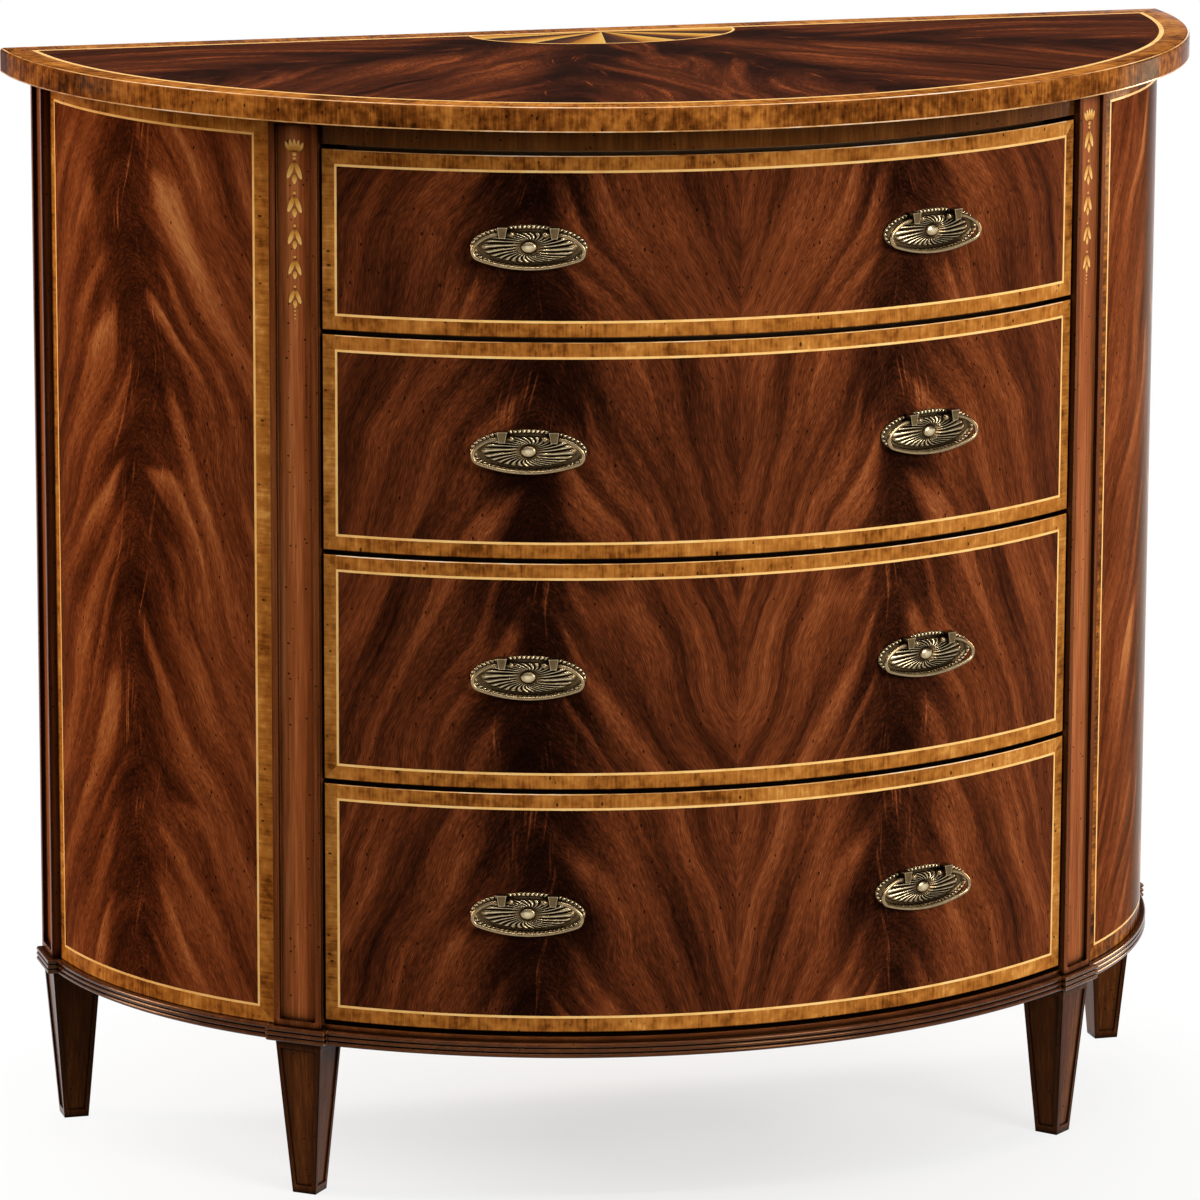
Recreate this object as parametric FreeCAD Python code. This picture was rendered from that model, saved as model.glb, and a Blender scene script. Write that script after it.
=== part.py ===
import FreeCAD, Part
import math
import os
from FreeCAD import Vector

# Half-round chest of four bow-front drawers on tapered legs.
# Millimetres, +Z up, front towards -Y, origin on the floor under the middle of the top.
# The plan is drawn with y = 0 on the straight back edge of the top and shifted when it is written.

# Top board
top_width = 1022.0
top_depth = 470.0
top_bend_angle = 55.0
top_thickness = 20.0
top_edge_round = 3.0

# Case plan, set in from the edges of the top
side_overhang = 27.0
front_overhang = 37.0
back_overhang = 10.0
case_bend_angle = 42.0

# Heights, the drawers sharing what the rest leaves of the whole
total_height = 914.0
leg_height = 132.0
base_thickness = 12.5
bottom_rail_height = 4.5
drawer_gap = 4.0
drawer_shares = (145.5, 175.5, 185.5, 198.5)
frieze_height = 20.0

# Posts and their sunk panels
post_width = 43.0
post_proud = 4.0
post_angle = 39.7
post_border = 5.5
post_sink = 4.0

# Legs, their sunk panels and their round tenons
leg_top_width = 41.0
leg_foot_width = 21.0
leg_border = 4.0
leg_panel_ends = 7.0
leg_sink = 1.5
tenon_diameter = 18.0
tenon_in_post = 25.0
tenon_clearance = 0.1

# Reeded base moulding
reed_count = 3
moulding_projection = 5.0
moulding_depth = 30.0

# Boards of the case
side_panel_thickness = 18.0
back_panel_thickness = 8.0
back_rebate = 12.0
divider_thickness = 14.0
partition_thickness = 15.0
housing_depth = 5.0
top_rail_width = 46.0
kicker_width = 22.0

# Drawer boxes
front_thickness = 22.0
front_end_gap = 2.0
stop_clearance = 0.3
running_clearance = 0.3
side_clearance = 1.0
head_clearance = 3.0
back_clearance = 8.0
drawer_board = 12.0
drawer_bottom_thickness = 6.0
drawer_bottom_rise = 7.0
groove_depth = 5.0

# Drawer joints: tails on the sides at the back, a dovetailed tongue on each side at the front
tail_pitch = 34.0
dovetail_slope = 7.0
pin_width = 6.0
tongue_depth = 8.0
tongue_shoulder = 2.5
tongue_flare = 2.0

# Handles, drawn at the middle of the front with z = 0 at the middle of the plate
handle_arc = 170.5
plate_width = 93.4
plate_height = 36.0
plate_thickness = 1.2
rim_width = 3.2
rim_height = 2.4
rosette_width = 74.0
rosette_height = 24.0
rosette_rise = 1.0
boss_width = 15.4
boss_height = 9.2
boss_rise = 1.2
lug_spacing = 41.6
lug_top_width = 7.8
lug_foot_width = 4.8
lug_top_rise = 16.6
lug_foot_rise = 8.0
lug_reach = 9.6
shank_rise = 10.2
shank_diameter = 4.0
shank_clearance = 0.1
nut_width = 8.0
nut_thickness = 4.0
nut_proud = 1.5

# Bails
bail_wire = 3.4
bail_width = 88.6
bail_drop = 16.2
bail_pivot_rise = 11.0
bail_pin_end = 22.0
bail_shoulder_radius = 28.0
bail_end_radius = 7.0
bail_stand_off = 6.5
bail_ball = 5.0
bail_ball_spacing = 26.8
pin_clearance = 0.05

# Levels that follow from the heights
case_base = leg_height + base_thickness
bottom_rail_top = case_base + bottom_rail_height
case_top = total_height - top_thickness
frieze_low = case_top - frieze_height
gap_count = len(drawer_shares) + 1
drawer_room = frieze_low - bottom_rail_top - drawer_gap * gap_count
drawer_heights = [drawer_room * share / sum(drawer_shares) for share in drawer_shares]
divider_overlap = (divider_thickness - drawer_gap) / 2

# Case sizes that follow from the top, its depth measured from the back edge of the top
case_width = top_width - 2 * side_overhang
case_depth = top_depth - front_overhang
case_back = -back_overhang
panel_front = case_back - back_panel_thickness
drawer_back_face = panel_front - back_clearance
half_post = post_width / 2
post_turn = math.radians(post_angle)


class HalfOval:
    """Plan of one front arc and two end arcs that meet the back line squarely."""

    def __init__(self, width, depth, bend_angle):
        self.half = width / 2
        self.bend = math.radians(bend_angle)
        spread = math.tan(self.bend) + 1 - 1 / math.cos(self.bend)
        self.front_centre = (self.half - depth) / spread
        self.front_radius = depth + self.front_centre
        self.end_centre = self.front_centre * math.tan(self.bend)
        self.end_radius = self.half - self.end_centre

    def front_point(self, turn, offset=0.0):
        radius = self.front_radius + offset
        return Vector(radius * math.sin(turn), self.front_centre - radius * math.cos(turn), 0)

    def end_point(self, side, turn, offset=0.0):
        radius = self.end_radius + offset
        return Vector(side * (self.end_centre + radius * math.sin(turn)), -radius * math.cos(turn), 0)

    def board(self, low, high, offset=0.0):
        square = math.pi / 2
        middle = (self.bend + square) / 2
        ends = [
            Part.Arc(*[self.end_point(side, turn, offset) for turn in (square, middle, self.bend)]).toShape()
            for side in (-1, 1)
        ]
        front = Part.Arc(*[self.front_point(turn, offset) for turn in (-self.bend, 0, self.bend)]).toShape()
        back = Part.makeLine(self.end_point(1, square, offset), self.end_point(-1, square, offset))
        return prism([ends[0], front, ends[1], back], low, high)


def prism(edges, low, high):
    face = Part.Face(Part.Wire(Part.__sortEdges__(edges)))
    face.translate(Vector(0, 0, low))
    return face.extrude(Vector(0, 0, high - low))


def box(x_range, y_range, z_range):
    corner = Vector(x_range[0], y_range[0], z_range[0])
    sizes = [span[1] - span[0] for span in (x_range, y_range, z_range)]
    return Part.makeBox(*sizes, corner)


def turned(shape, centre, degrees):
    result = shape.copy()
    result.rotate(centre, Vector(0, 0, 1), degrees)
    return result


def moved(shape, x, y, z):
    result = shape.copy()
    result.translate(Vector(x, y, z))
    return result


def mirrored(shape):
    return shape.mirror(Vector(0, 0, 0), Vector(1, 0, 0))


top_plan = HalfOval(top_width, top_depth, top_bend_angle)
case_plan = HalfOval(case_width, case_depth, case_bend_angle)
front_axis = Vector(0, case_plan.front_centre, 0)
front_inner = case_plan.front_radius - front_thickness
reach = case_width


# Places of the right-hand posts: drawn about their own axis with the outer face towards -Y

post_inset = post_proud - half_post
front_post_axis = case_plan.front_point(post_turn, post_inset)
rear_post_axis = Vector(case_plan.half + post_inset, case_back - half_post, 0)


def at_front_post(shape):
    return moved(turned(shape, Vector(0, 0, 0), post_angle), front_post_axis.x, front_post_axis.y, 0)


def at_rear_post(shape):
    return moved(turned(shape, Vector(0, 0, 0), 90), rear_post_axis.x, rear_post_axis.y, 0)


post_rotation = FreeCAD.Rotation(Vector(0, 0, 1), post_angle)
inner_corner = front_post_axis + post_rotation * Vector(-half_post, half_post, 0)
partition_face = inner_corner.x
drawer_half = partition_face - side_clearance


def front_cylinder(radius, low, high):
    base = Vector(front_axis.x, front_axis.y, low)
    return Part.makeCylinder(radius, high - low, base)


def front_band(outer, inner, end_offset, low, high):
    """Curved bar between two radii, its ends parallel to the posts' inner faces."""
    arcs = []
    ends = []
    for radius in (outer, inner):
        turn = post_turn - math.asin(end_offset / radius)
        points = [case_plan.front_point(at, radius - case_plan.front_radius) for at in (-turn, 0, turn)]
        arcs.append(Part.Arc(*points).toShape())
        ends.append(points)
    sides = [Part.makeLine(ends[0][at], ends[1][at]) for at in (0, 2)]
    return prism(arcs + sides, low, high)


# Posts

def post_block():
    return box((-half_post, half_post), (-half_post, half_post), (case_base, case_top))


def post():
    panel_half = half_post - post_border
    panel = box(
        (-panel_half, panel_half),
        (-post_width, post_sink - half_post),
        (case_base + post_border, case_top - post_border),
    )
    return post_block().cut(panel).cut(tenon(tenon_clearance))


def tenon(clearance):
    radius = tenon_diameter / 2 + clearance
    return Part.makeCylinder(radius, base_thickness + tenon_in_post + clearance, Vector(0, 0, leg_height))


# Legs

def square_wire(half, level):
    corners = [Vector(x * half, y * half, level) for x, y in ((-1, -1), (1, -1), (1, 1), (-1, 1), (-1, -1))]
    return Part.makePolygon(corners)


def leg_half_width(level):
    foot = leg_foot_width / 2
    return foot + (leg_top_width / 2 - foot) * level / leg_height


def leg_panel():
    """Shallow tapered recess for the face towards -Y."""
    low = leg_panel_ends
    high = leg_height - leg_panel_ends
    outline = []
    for level, sign in ((low, -1), (low, 1), (high, 1), (high, -1)):
        outline.append(Vector(sign * (leg_half_width(level) - leg_border), -leg_top_width, level))
    face = Part.Face(Part.makePolygon(outline + outline[:1]))
    recess = face.extrude(Vector(0, leg_top_width, 0))
    slope = [
        Vector(-leg_top_width, leg_sink - leg_half_width(0), 0),
        Vector(-leg_top_width, leg_sink - leg_half_width(leg_height), leg_height),
        Vector(-leg_top_width, leg_top_width, leg_height),
        Vector(-leg_top_width, leg_top_width, 0),
    ]
    core = Part.Face(Part.makePolygon(slope + slope[:1])).extrude(Vector(2 * leg_top_width, 0, 0))
    return recess.cut(core)


def leg():
    wires = [square_wire(leg_half_width(level), level) for level in (0, leg_height)]
    result = Part.makeLoft(wires, True, True).fuse(tenon(0)).removeSplitter()
    panel = leg_panel()
    for degrees in (-90, 0, 90):
        result = result.cut(turned(panel, Vector(0, 0, 0), degrees))
    return result


# Reeded base

def reeded_profile(inner, outer, plain_inner=True):
    """Upright profile across y, reeded towards -Y, and on both sides unless plain_inner."""
    pitch = base_thickness / reed_count
    radius = pitch / 2

    def face_edges(distance):
        sign = math.copysign(1, distance)
        root = distance - sign * radius
        edges = []
        for reed in range(reed_count):
            low = leg_height + reed * pitch
            points = [
                Vector(0, -root, low),
                Vector(0, -distance, low + radius),
                Vector(0, -root, low + pitch),
            ]
            edges.append(Part.Arc(*points).toShape())
        return edges, root

    outer_edges, outer_root = face_edges(outer)
    if plain_inner:
        inner_edges = [Part.makeLine(Vector(0, -inner, leg_height), Vector(0, -inner, case_base))]
        inner_root = inner
    else:
        inner_edges, inner_root = face_edges(inner)
    caps = [
        Part.makeLine(Vector(0, -inner_root, level), Vector(0, -outer_root, level))
        for level in (leg_height, case_base)
    ]
    return Part.Face(Part.Wire(Part.__sortEdges__(outer_edges + inner_edges + caps)))


def base_block(plain_side):
    """Reeded block under a post; plain_side is +1 or -1 where a side lies flush with the back, else 0."""
    edge = half_post + moulding_projection
    across = reeded_profile(-half_post, edge)
    across.translate(Vector(-edge, 0, 0))
    depth = across.extrude(Vector(2 * edge, 0, 0))
    if plain_side:
        along = reeded_profile(-half_post, edge)
        along.rotate(Vector(0, 0, 0), Vector(0, 0, 1), -90 * plain_side)
    else:
        along = reeded_profile(-edge, edge, plain_inner=False)
        along.rotate(Vector(0, 0, 0), Vector(0, 0, 1), 90)
    along.translate(Vector(0, -edge, 0))
    width = along.extrude(Vector(0, 2 * edge, 0))
    return depth.common(width).cut(tenon(tenon_clearance))


block_edge = half_post + moulding_projection
rear_block_front = rear_post_axis.y - block_edge


def ahead_of_post(distance):
    """Everything on the drawer side of a line beside the right front post."""
    return at_front_post(box((-reach, distance), (-reach, reach), (0, case_top)))


def behind(y):
    return box((-reach, reach), (y, reach), (0, case_top))


def base_moulding_front():
    profile = reeded_profile(-moulding_depth, moulding_projection)
    profile.translate(Vector(0, -case_depth, 0))
    start = turned(profile, front_axis, -post_angle)
    ring = start.revolve(front_axis, Vector(0, 0, 1), 2 * post_angle)
    outer = case_plan.front_radius + 2 * moulding_projection
    window = front_band(outer, case_plan.front_radius - 2 * moulding_depth, block_edge, 0, case_top)
    return ring.common(window)


def base_moulding_side():
    profile = reeded_profile(-moulding_depth, moulding_projection)
    centre = Vector(case_plan.end_centre, 0, 0)
    profile.translate(Vector(case_plan.end_centre, -case_plan.end_radius, 0))
    ring = profile.revolve(centre, Vector(0, 0, 1), 90)
    return ring.cut(ahead_of_post(block_edge)).cut(behind(rear_block_front))


def base_rail_back():
    inner = rear_post_axis.x - half_post
    return box((-inner, inner), (case_back - moulding_depth, case_back), (leg_height, case_base))


# Case boards

def top_board():
    board = top_plan.board(case_top, case_top + top_thickness)
    arcs = [edge for edge in board.Edges if isinstance(edge.Curve, Part.Circle)]
    rim = [edge for edge in arcs if edge.BoundBox.ZMin > case_top]
    return board.makeFillet(top_edge_round, rim)


def side_panel():
    hollow = case_plan.board(case_base, case_top, -side_panel_thickness)
    ring = case_plan.board(case_base, case_top).cut(hollow)
    right = ring.common(box((0, reach), (-reach, reach), (case_base, case_top)))
    return right.cut(ahead_of_post(half_post)).cut(behind(rear_post_axis.y - half_post))


def back_panel():
    half = rear_post_axis.x - half_post + back_rebate
    return box((-half, half), (panel_front, case_back), (case_base, case_top))


def bottom_board(posts, panels):
    high = bottom_rail_top + drawer_gap + divider_overlap
    board = case_plan.board(case_base, high)
    opening = front_band(
        case_plan.front_radius + post_proud, front_inner - stop_clearance, 0, case_base, high
    )
    return board.cut([opening, behind(panel_front)] + posts + panels)


def partition(right_post):
    board = box(
        (partition_face, partition_face + partition_thickness),
        (inner_corner.y, panel_front),
        (bottom_rail_top + drawer_gap + divider_overlap, case_top),
    )
    return board.cut(right_post)


def bowed_board(half, back, low, high, radius):
    """Board with a straight back and a front edge that follows the drawers."""
    return box((-half, half), (-case_depth, back), (low, high)).common(front_cylinder(radius, low, high))


def divider(level, posts):
    """Board under a drawer gap, housed in the partitions."""
    low = level - divider_overlap
    high = low + divider_thickness
    half = partition_face + housing_depth
    board = bowed_board(half, panel_front, low, high, front_inner - stop_clearance)
    return board.cut(posts)


top_rail_low = frieze_low - drawer_gap - divider_overlap
top_rail_back = inner_corner.y - half_post + top_rail_width


def top_rail():
    return bowed_board(partition_face, top_rail_back, top_rail_low, case_top, front_inner)


def kicker():
    across = (partition_face - kicker_width, partition_face)
    return box(across, (top_rail_back, panel_front), (top_rail_low, case_top))


def frieze_rail():
    return front_band(case_plan.front_radius, front_inner, half_post, frieze_low, case_top)


def bottom_rail():
    return front_band(case_plan.front_radius, front_inner, half_post, case_base, bottom_rail_top)


# Drawers

def drawer_bottom(low):
    rise = low + drawer_bottom_rise
    half = drawer_half - drawer_board + groove_depth
    top = rise + drawer_bottom_thickness
    return bowed_board(half, drawer_back_face, rise, top, front_inner + groove_depth)


def inner_face(x):
    """Where the back of the drawer fronts lies at this distance from the middle."""
    return case_plan.front_centre - math.sqrt(front_inner ** 2 - x ** 2)


def front_tongue(low, high):
    """Dovetailed tongue on the front end of the right side, housed in the back of the front."""
    outer = drawer_half - tongue_shoulder
    inner = drawer_half - drawer_board + tongue_shoulder
    root = inner_face(drawer_half)
    tip = inner_face(drawer_half - drawer_board) - tongue_depth
    outline = [
        Vector(inner, root, low),
        Vector(outer, root, low),
        Vector(outer + tongue_flare, tip, low),
        Vector(inner - tongue_flare, tip, low),
    ]
    face = Part.Face(Part.makePolygon(outline + outline[:1]))
    return face.extrude(Vector(0, 0, high - low))


def back_pins(low, high):
    """What the back keeps of its right corner, between the tails of the side."""
    inner = drawer_half - drawer_board
    root = drawer_back_face - drawer_board
    corner = box((inner, drawer_half), (root, drawer_back_face), (low, high))
    count = round((high - low) / tail_pitch)
    pitch = (high - low) / count
    wide = (pitch - pin_width) / 2
    narrow = wide - drawer_board / dovetail_slope
    tails = []
    for number in range(count):
        level = low + pitch * (number + 0.5)
        outline = [
            Vector(inner, root, level - narrow),
            Vector(inner, drawer_back_face, level - wide),
            Vector(inner, drawer_back_face, level + wide),
            Vector(inner, root, level + narrow),
        ]
        face = Part.Face(Part.makePolygon(outline + outline[:1]))
        tails.append(face.extrude(Vector(drawer_board, 0, 0)))
    return corner.cut(tails)


def drawer_side(low, high):
    length = box((drawer_half - drawer_board, drawer_half), (-case_depth, drawer_back_face), (low, high))
    return length.common(front_cylinder(front_inner, low, high)).fuse(front_tongue(low, high))


def drawer_back(low, high, pins):
    half = drawer_half - drawer_board
    board = box((-half, half), (drawer_back_face - drawer_board, drawer_back_face), (low, high))
    return board.fuse([pins, mirrored(pins)]).removeSplitter()


def drawer_front(low, high):
    return front_band(case_plan.front_radius, front_inner, half_post + front_end_gap, low, high)


# Handles

def upright_ellipse(width, height):
    """Oval prism along y through the middle of the front."""
    ellipse = Part.Ellipse(Vector(0, 0, 0), width / 2, height / 2)
    face = Part.Face(Part.Wire([ellipse.toShape()]))
    face.rotate(Vector(0, 0, 0), Vector(1, 0, 0), 90)
    face.translate(Vector(0, -case_depth + front_thickness, 0))
    return face.extrude(Vector(0, -2 * front_thickness, 0))


def front_shell(inner_rise, outer_rise):
    """Skin that follows the drawer front between two heights above it."""
    low = -plate_height
    high = plate_height
    outer = front_cylinder(case_plan.front_radius + outer_rise, low, high)
    return outer.cut(front_cylinder(case_plan.front_radius + inner_rise, low, high))


def raised_oval(width, height, rise):
    """Oval that follows the drawer front and stands out from it."""
    return front_shell(0, rise).common(upright_ellipse(width, height))


def boss():
    """Oval button with a rounded face in the middle of the rosette."""
    top = plate_thickness + rosette_rise + boss_rise
    radius = ((boss_width / 2) ** 2 + boss_rise ** 2) / (2 * boss_rise)
    ball = Part.makeSphere(radius, Vector(0, radius - case_depth - top, 0))
    button = upright_ellipse(boss_width, boss_height).common(ball)
    return button.cut(front_cylinder(case_plan.front_radius, -plate_height, plate_height))


def shank(clearance):
    length = front_thickness + nut_thickness + nut_proud + plate_thickness + lug_reach / 2
    start = front_thickness + nut_thickness + nut_proud
    end = Vector(0, start - case_depth, shank_rise)
    return Part.makeCylinder(shank_diameter / 2 + clearance, length, end, Vector(0, -1, 0))


def each_lug(shape):
    return [moved(shape, side * lug_spacing / 2, 0, 0) for side in (-1, 1)]


def handle_plate():
    field = upright_ellipse(plate_width - 2 * rim_width, plate_height - 2 * rim_width)
    rim = raised_oval(plate_width, plate_height, rim_height).cut(field)
    plate = raised_oval(plate_width, plate_height, plate_thickness)
    rosette = raised_oval(rosette_width, rosette_height, plate_thickness + rosette_rise)
    whole = plate.fuse([rim, rosette, boss()]).cut(each_lug(shank(shank_clearance)))
    return whole.removeSplitter()


def handle_lug():
    outline = [
        Vector(-lug_top_width / 2, 0, lug_top_rise),
        Vector(lug_top_width / 2, 0, lug_top_rise),
        Vector(lug_foot_width / 2, 0, lug_foot_rise),
        Vector(-lug_foot_width / 2, 0, lug_foot_rise),
    ]
    face = Part.Face(Part.makePolygon(outline + outline[:1]))
    face.translate(Vector(0, -case_depth, 0))
    return face.extrude(Vector(0, -lug_reach, 0))


def pin_bore():
    radius = bail_wire / 2 + pin_clearance
    start = Vector(-lug_top_width, -case_depth - bail_stand_off, bail_pivot_rise)
    return Part.makeCylinder(radius, 2 * lug_top_width, start, Vector(1, 0, 0))


def handle_post(plate):
    """Lugs seated on the plate, each with the shank that goes through the drawer front."""
    cover = front_cylinder(case_plan.front_radius, -plate_height, plate_height)
    posts = []
    for lug, rod, bore in zip(each_lug(handle_lug()), each_lug(shank(0)), each_lug(pin_bore())):
        seated = lug.cut(cover).cut(plate)
        posts.append(seated.fuse(rod).cut(bore).removeSplitter())
    return posts


def handle_nut():
    radius = nut_width / math.sqrt(3)
    turns = [math.radians(60 * corner) for corner in range(7)]
    corners = [
        Vector(radius * math.cos(turn), 0, shank_rise + radius * math.sin(turn)) for turn in turns
    ]
    face = Part.Face(Part.makePolygon(corners))
    face.translate(Vector(0, front_thickness - case_depth - nut_proud, 0))
    nut = face.extrude(Vector(0, nut_thickness + nut_proud, 0))
    return nut.cut(shank(shank_clearance))


def handle_nuts():
    wall = front_cylinder(front_inner, -plate_height, plate_height)
    return [nut.common(wall) for nut in each_lug(handle_nut())]


def bent_wire(centre_x, centre_z, radius, start, turn):
    """Round wire bent about an axis along y; angles run from straight up towards +X."""
    rim = Part.makeCircle(bail_wire / 2, Vector(0, 0, radius), Vector(1, 0, 0))
    section = Part.Face(Part.Wire([rim]))
    along_y = Vector(0, 1, 0)
    section.rotate(Vector(0, 0, 0), along_y, start)
    section.translate(Vector(centre_x, 0, centre_z))
    return section.revolve(Vector(centre_x, 0, centre_z), along_y, turn)


def bail():
    """One wire: straight pins, shoulders, tight ends and a long lower curve, with a ball on each pin."""
    shoulder_z = bail_pivot_rise - bail_shoulder_radius
    end_x = bail_width / 2 - bail_end_radius
    apart = bail_shoulder_radius - bail_end_radius
    shoulder_turn = math.asin((end_x - bail_pin_end) / apart)
    end_z = shoulder_z + apart * math.cos(shoulder_turn)
    depth = bail_drop + end_z
    lower_radius = (end_x ** 2 + depth ** 2 - bail_end_radius ** 2) / (2 * (depth - bail_end_radius))
    lower_z = lower_radius - bail_drop
    first = math.degrees(shoulder_turn)
    last = math.degrees(math.atan2(end_x, end_z - lower_z))
    pin_start = bail_ball_spacing / 2
    pieces = [
        bent_wire(bail_pin_end, shoulder_z, bail_shoulder_radius, 0, first),
        bent_wire(-bail_pin_end, shoulder_z, bail_shoulder_radius, -first, first),
        bent_wire(end_x, end_z, bail_end_radius, first, last - first),
        bent_wire(-end_x, end_z, bail_end_radius, -last, last - first),
        bent_wire(0, lower_z, lower_radius, last, 360 - 2 * last),
    ]
    for side in (-1, 1):
        ball_centre = Vector(side * pin_start, 0, bail_pivot_rise)
        outward = Vector(side, 0, 0)
        pieces.append(Part.makeCylinder(bail_wire / 2, bail_pin_end - pin_start, ball_centre, outward))
        pieces.append(Part.makeSphere(bail_ball / 2, ball_centre, outward))
    wire = pieces[0].fuse(pieces[1:]).removeSplitter()
    return moved(wire, 0, -case_depth - bail_stand_off, 0)


handle_degrees = math.degrees(handle_arc / case_plan.front_radius)


def at_handles(shape, level):
    """The shape at the left and right handle of one drawer."""
    return [turned(moved(shape, 0, 0, level), front_axis, side * handle_degrees) for side in (-1, 1)]


def write(name, shape):
    """Writes one node, with its plan shifted to the middle of the top."""
    moved(shape, 0, top_depth / 2, 0).exportStep(os.path.join("parts", name + ".step"))


def write_pair(name, right):
    write(name + "_right", right)
    write(name + "_left", mirrored(right))


def build_case():
    panel = back_panel()
    front_block = at_front_post(post_block())
    rear_block = at_rear_post(post_block())
    blocks = [front_block, mirrored(front_block), rear_block, mirrored(rear_block)]
    side = side_panel()
    gaps = []
    level = bottom_rail_top
    for height in reversed(drawer_heights):
        level += drawer_gap + height
        gaps.append(level)
    dividers = [divider(level, blocks) for level in reversed(gaps[:-1])]

    write("top_board", top_board())
    write_pair("front_post", at_front_post(post()))
    write_pair("rear_post", at_rear_post(post()).cut(panel))
    write_pair("side_panel", side)
    write("back_panel", panel)
    write("bottom_board", bottom_board(blocks, [side, mirrored(side)]))
    write_pair("partition", partition(front_block).cut(dividers))
    for number, board in enumerate(dividers, start=1):
        write("divider_%d" % number, board)
    write("frieze_rail", frieze_rail())
    write("top_rail", top_rail().cut(blocks))
    write("kickers", Part.makeCompound([kicker(), mirrored(kicker())]))
    write("bottom_rail", bottom_rail())


def build_base():
    front_block = at_front_post(base_block(0))
    rear_block = at_rear_post(base_block(1))
    write("base_blocks", Part.makeCompound([
        front_block, mirrored(front_block), rear_block, mirrored(rear_block)
    ]))
    write("base_moulding_front", base_moulding_front())
    write_pair("base_moulding", base_moulding_side())
    write("base_rail_back", base_rail_back())
    write_pair("front_leg", at_front_post(leg()))
    write_pair("rear_leg", at_rear_post(leg()))


def build_drawers():
    plate = handle_plate()
    posts = handle_post(plate)
    nuts = handle_nuts()
    holes = each_lug(shank(shank_clearance))
    ring = bail()
    high = frieze_low - drawer_gap
    for number, height in enumerate(drawer_heights, start=1):
        low = high - height
        middle = (low + high) / 2
        box_low = low + divider_overlap + running_clearance
        box_high = high - divider_overlap - head_clearance
        name = "drawer_%d" % number
        floor = drawer_bottom(box_low)
        floor_top = box_low + drawer_bottom_rise + drawer_bottom_thickness
        pins = back_pins(floor_top, box_high)
        side = drawer_side(box_low, box_high).cut([floor, pins])
        housing = front_tongue(low, box_high)
        drilled = [hole for shape in holes for hole in at_handles(shape, middle)]
        write(name + "_front", drawer_front(low, high).cut([floor, housing, mirrored(housing)] + drilled))
        write(name + "_sides", Part.makeCompound([side, mirrored(side)]))
        write(name + "_back", drawer_back(floor_top, box_high, pins))
        write(name + "_bottom", floor)
        write(name + "_handle_plates", Part.makeCompound(at_handles(plate, middle)))
        write(name + "_handle_posts", Part.makeCompound(
            [placed for shape in posts + nuts for placed in at_handles(shape, middle)]
        ))
        for hand, placed in zip(("left", "right"), at_handles(ring, middle)):
            write("%s_bail_%s" % (name, hand), placed)
        high = low - drawer_gap


os.makedirs("parts", exist_ok=True)
build_case()
build_base()
build_drawers()
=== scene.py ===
import math

import bpy
from mathutils import Matrix, Vector


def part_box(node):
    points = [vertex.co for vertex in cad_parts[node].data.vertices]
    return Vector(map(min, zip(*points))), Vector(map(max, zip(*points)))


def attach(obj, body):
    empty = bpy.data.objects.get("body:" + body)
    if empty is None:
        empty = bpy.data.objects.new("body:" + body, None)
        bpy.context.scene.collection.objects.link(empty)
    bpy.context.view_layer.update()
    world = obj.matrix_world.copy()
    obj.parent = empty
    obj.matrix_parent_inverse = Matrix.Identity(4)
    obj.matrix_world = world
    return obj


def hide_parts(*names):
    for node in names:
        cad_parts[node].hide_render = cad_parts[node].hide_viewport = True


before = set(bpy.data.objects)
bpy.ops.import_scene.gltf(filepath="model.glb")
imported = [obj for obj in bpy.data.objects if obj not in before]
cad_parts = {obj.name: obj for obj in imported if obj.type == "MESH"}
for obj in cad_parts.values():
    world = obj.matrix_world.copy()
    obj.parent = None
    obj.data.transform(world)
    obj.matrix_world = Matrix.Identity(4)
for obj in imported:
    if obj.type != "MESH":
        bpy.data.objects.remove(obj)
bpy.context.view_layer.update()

# Veneered half-round chest of drawers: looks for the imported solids.
# Sizes are in millimetres and become metres when a mesh is made.

mm = 0.001

# Plan of the solids, y = 0 on the back edge of the top
top_width = 1022.0
top_depth = 470.0
top_bend_angle = 55.0
top_edge_round = 3.0
case_width = 968.0
case_depth = 433.0
case_bend_angle = 42.0
back_overhang = 10.0
post_width = 43.0
post_proud = 4.0
post_angle = 39.7
post_sink = 4.0
front_thickness = 22.0
front_end_gap = 2.0
side_panel_thickness = 18.0

# Veneers
string_width = 2.0
edge_ease = 0.7
plume_pitch = 66.0
plume_ridge = 50.0
band_leaf = 93.0
band_leaf_tone = 0.08
speck_stretch = 1.7
speck_sizes = (0.05, 0.19)
speck_edge = 20.0
speck_strength = 0.85
polish_ior = 1.5
dry_roughness = 0.6
drawer_bands = (11.0, 11.0, 11.5, 11.5)
side_bands = (15.0, 10.0, 12.5, 15.0)
left_spine = 165.0
right_spine = 140.0
side_spine = 143.0
left_side_leaf = 2300.0
right_side_leaf = 3120.0
top_band = 22.0
top_joint_angle = 41.0
# Height of the painted highlight along the lower edge of the top
top_edge_highlight = 1.0
top_string = 4.0
fan_half_width = 116.0
fan_depth = 74.0
fan_string = 2.2
fan_rays = 11
board_facet = 14.0
board_sharp_angle = 35.0
top_facet_degrees = 1.5
top_rings = 4
top_leaf = 1400.0

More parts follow.
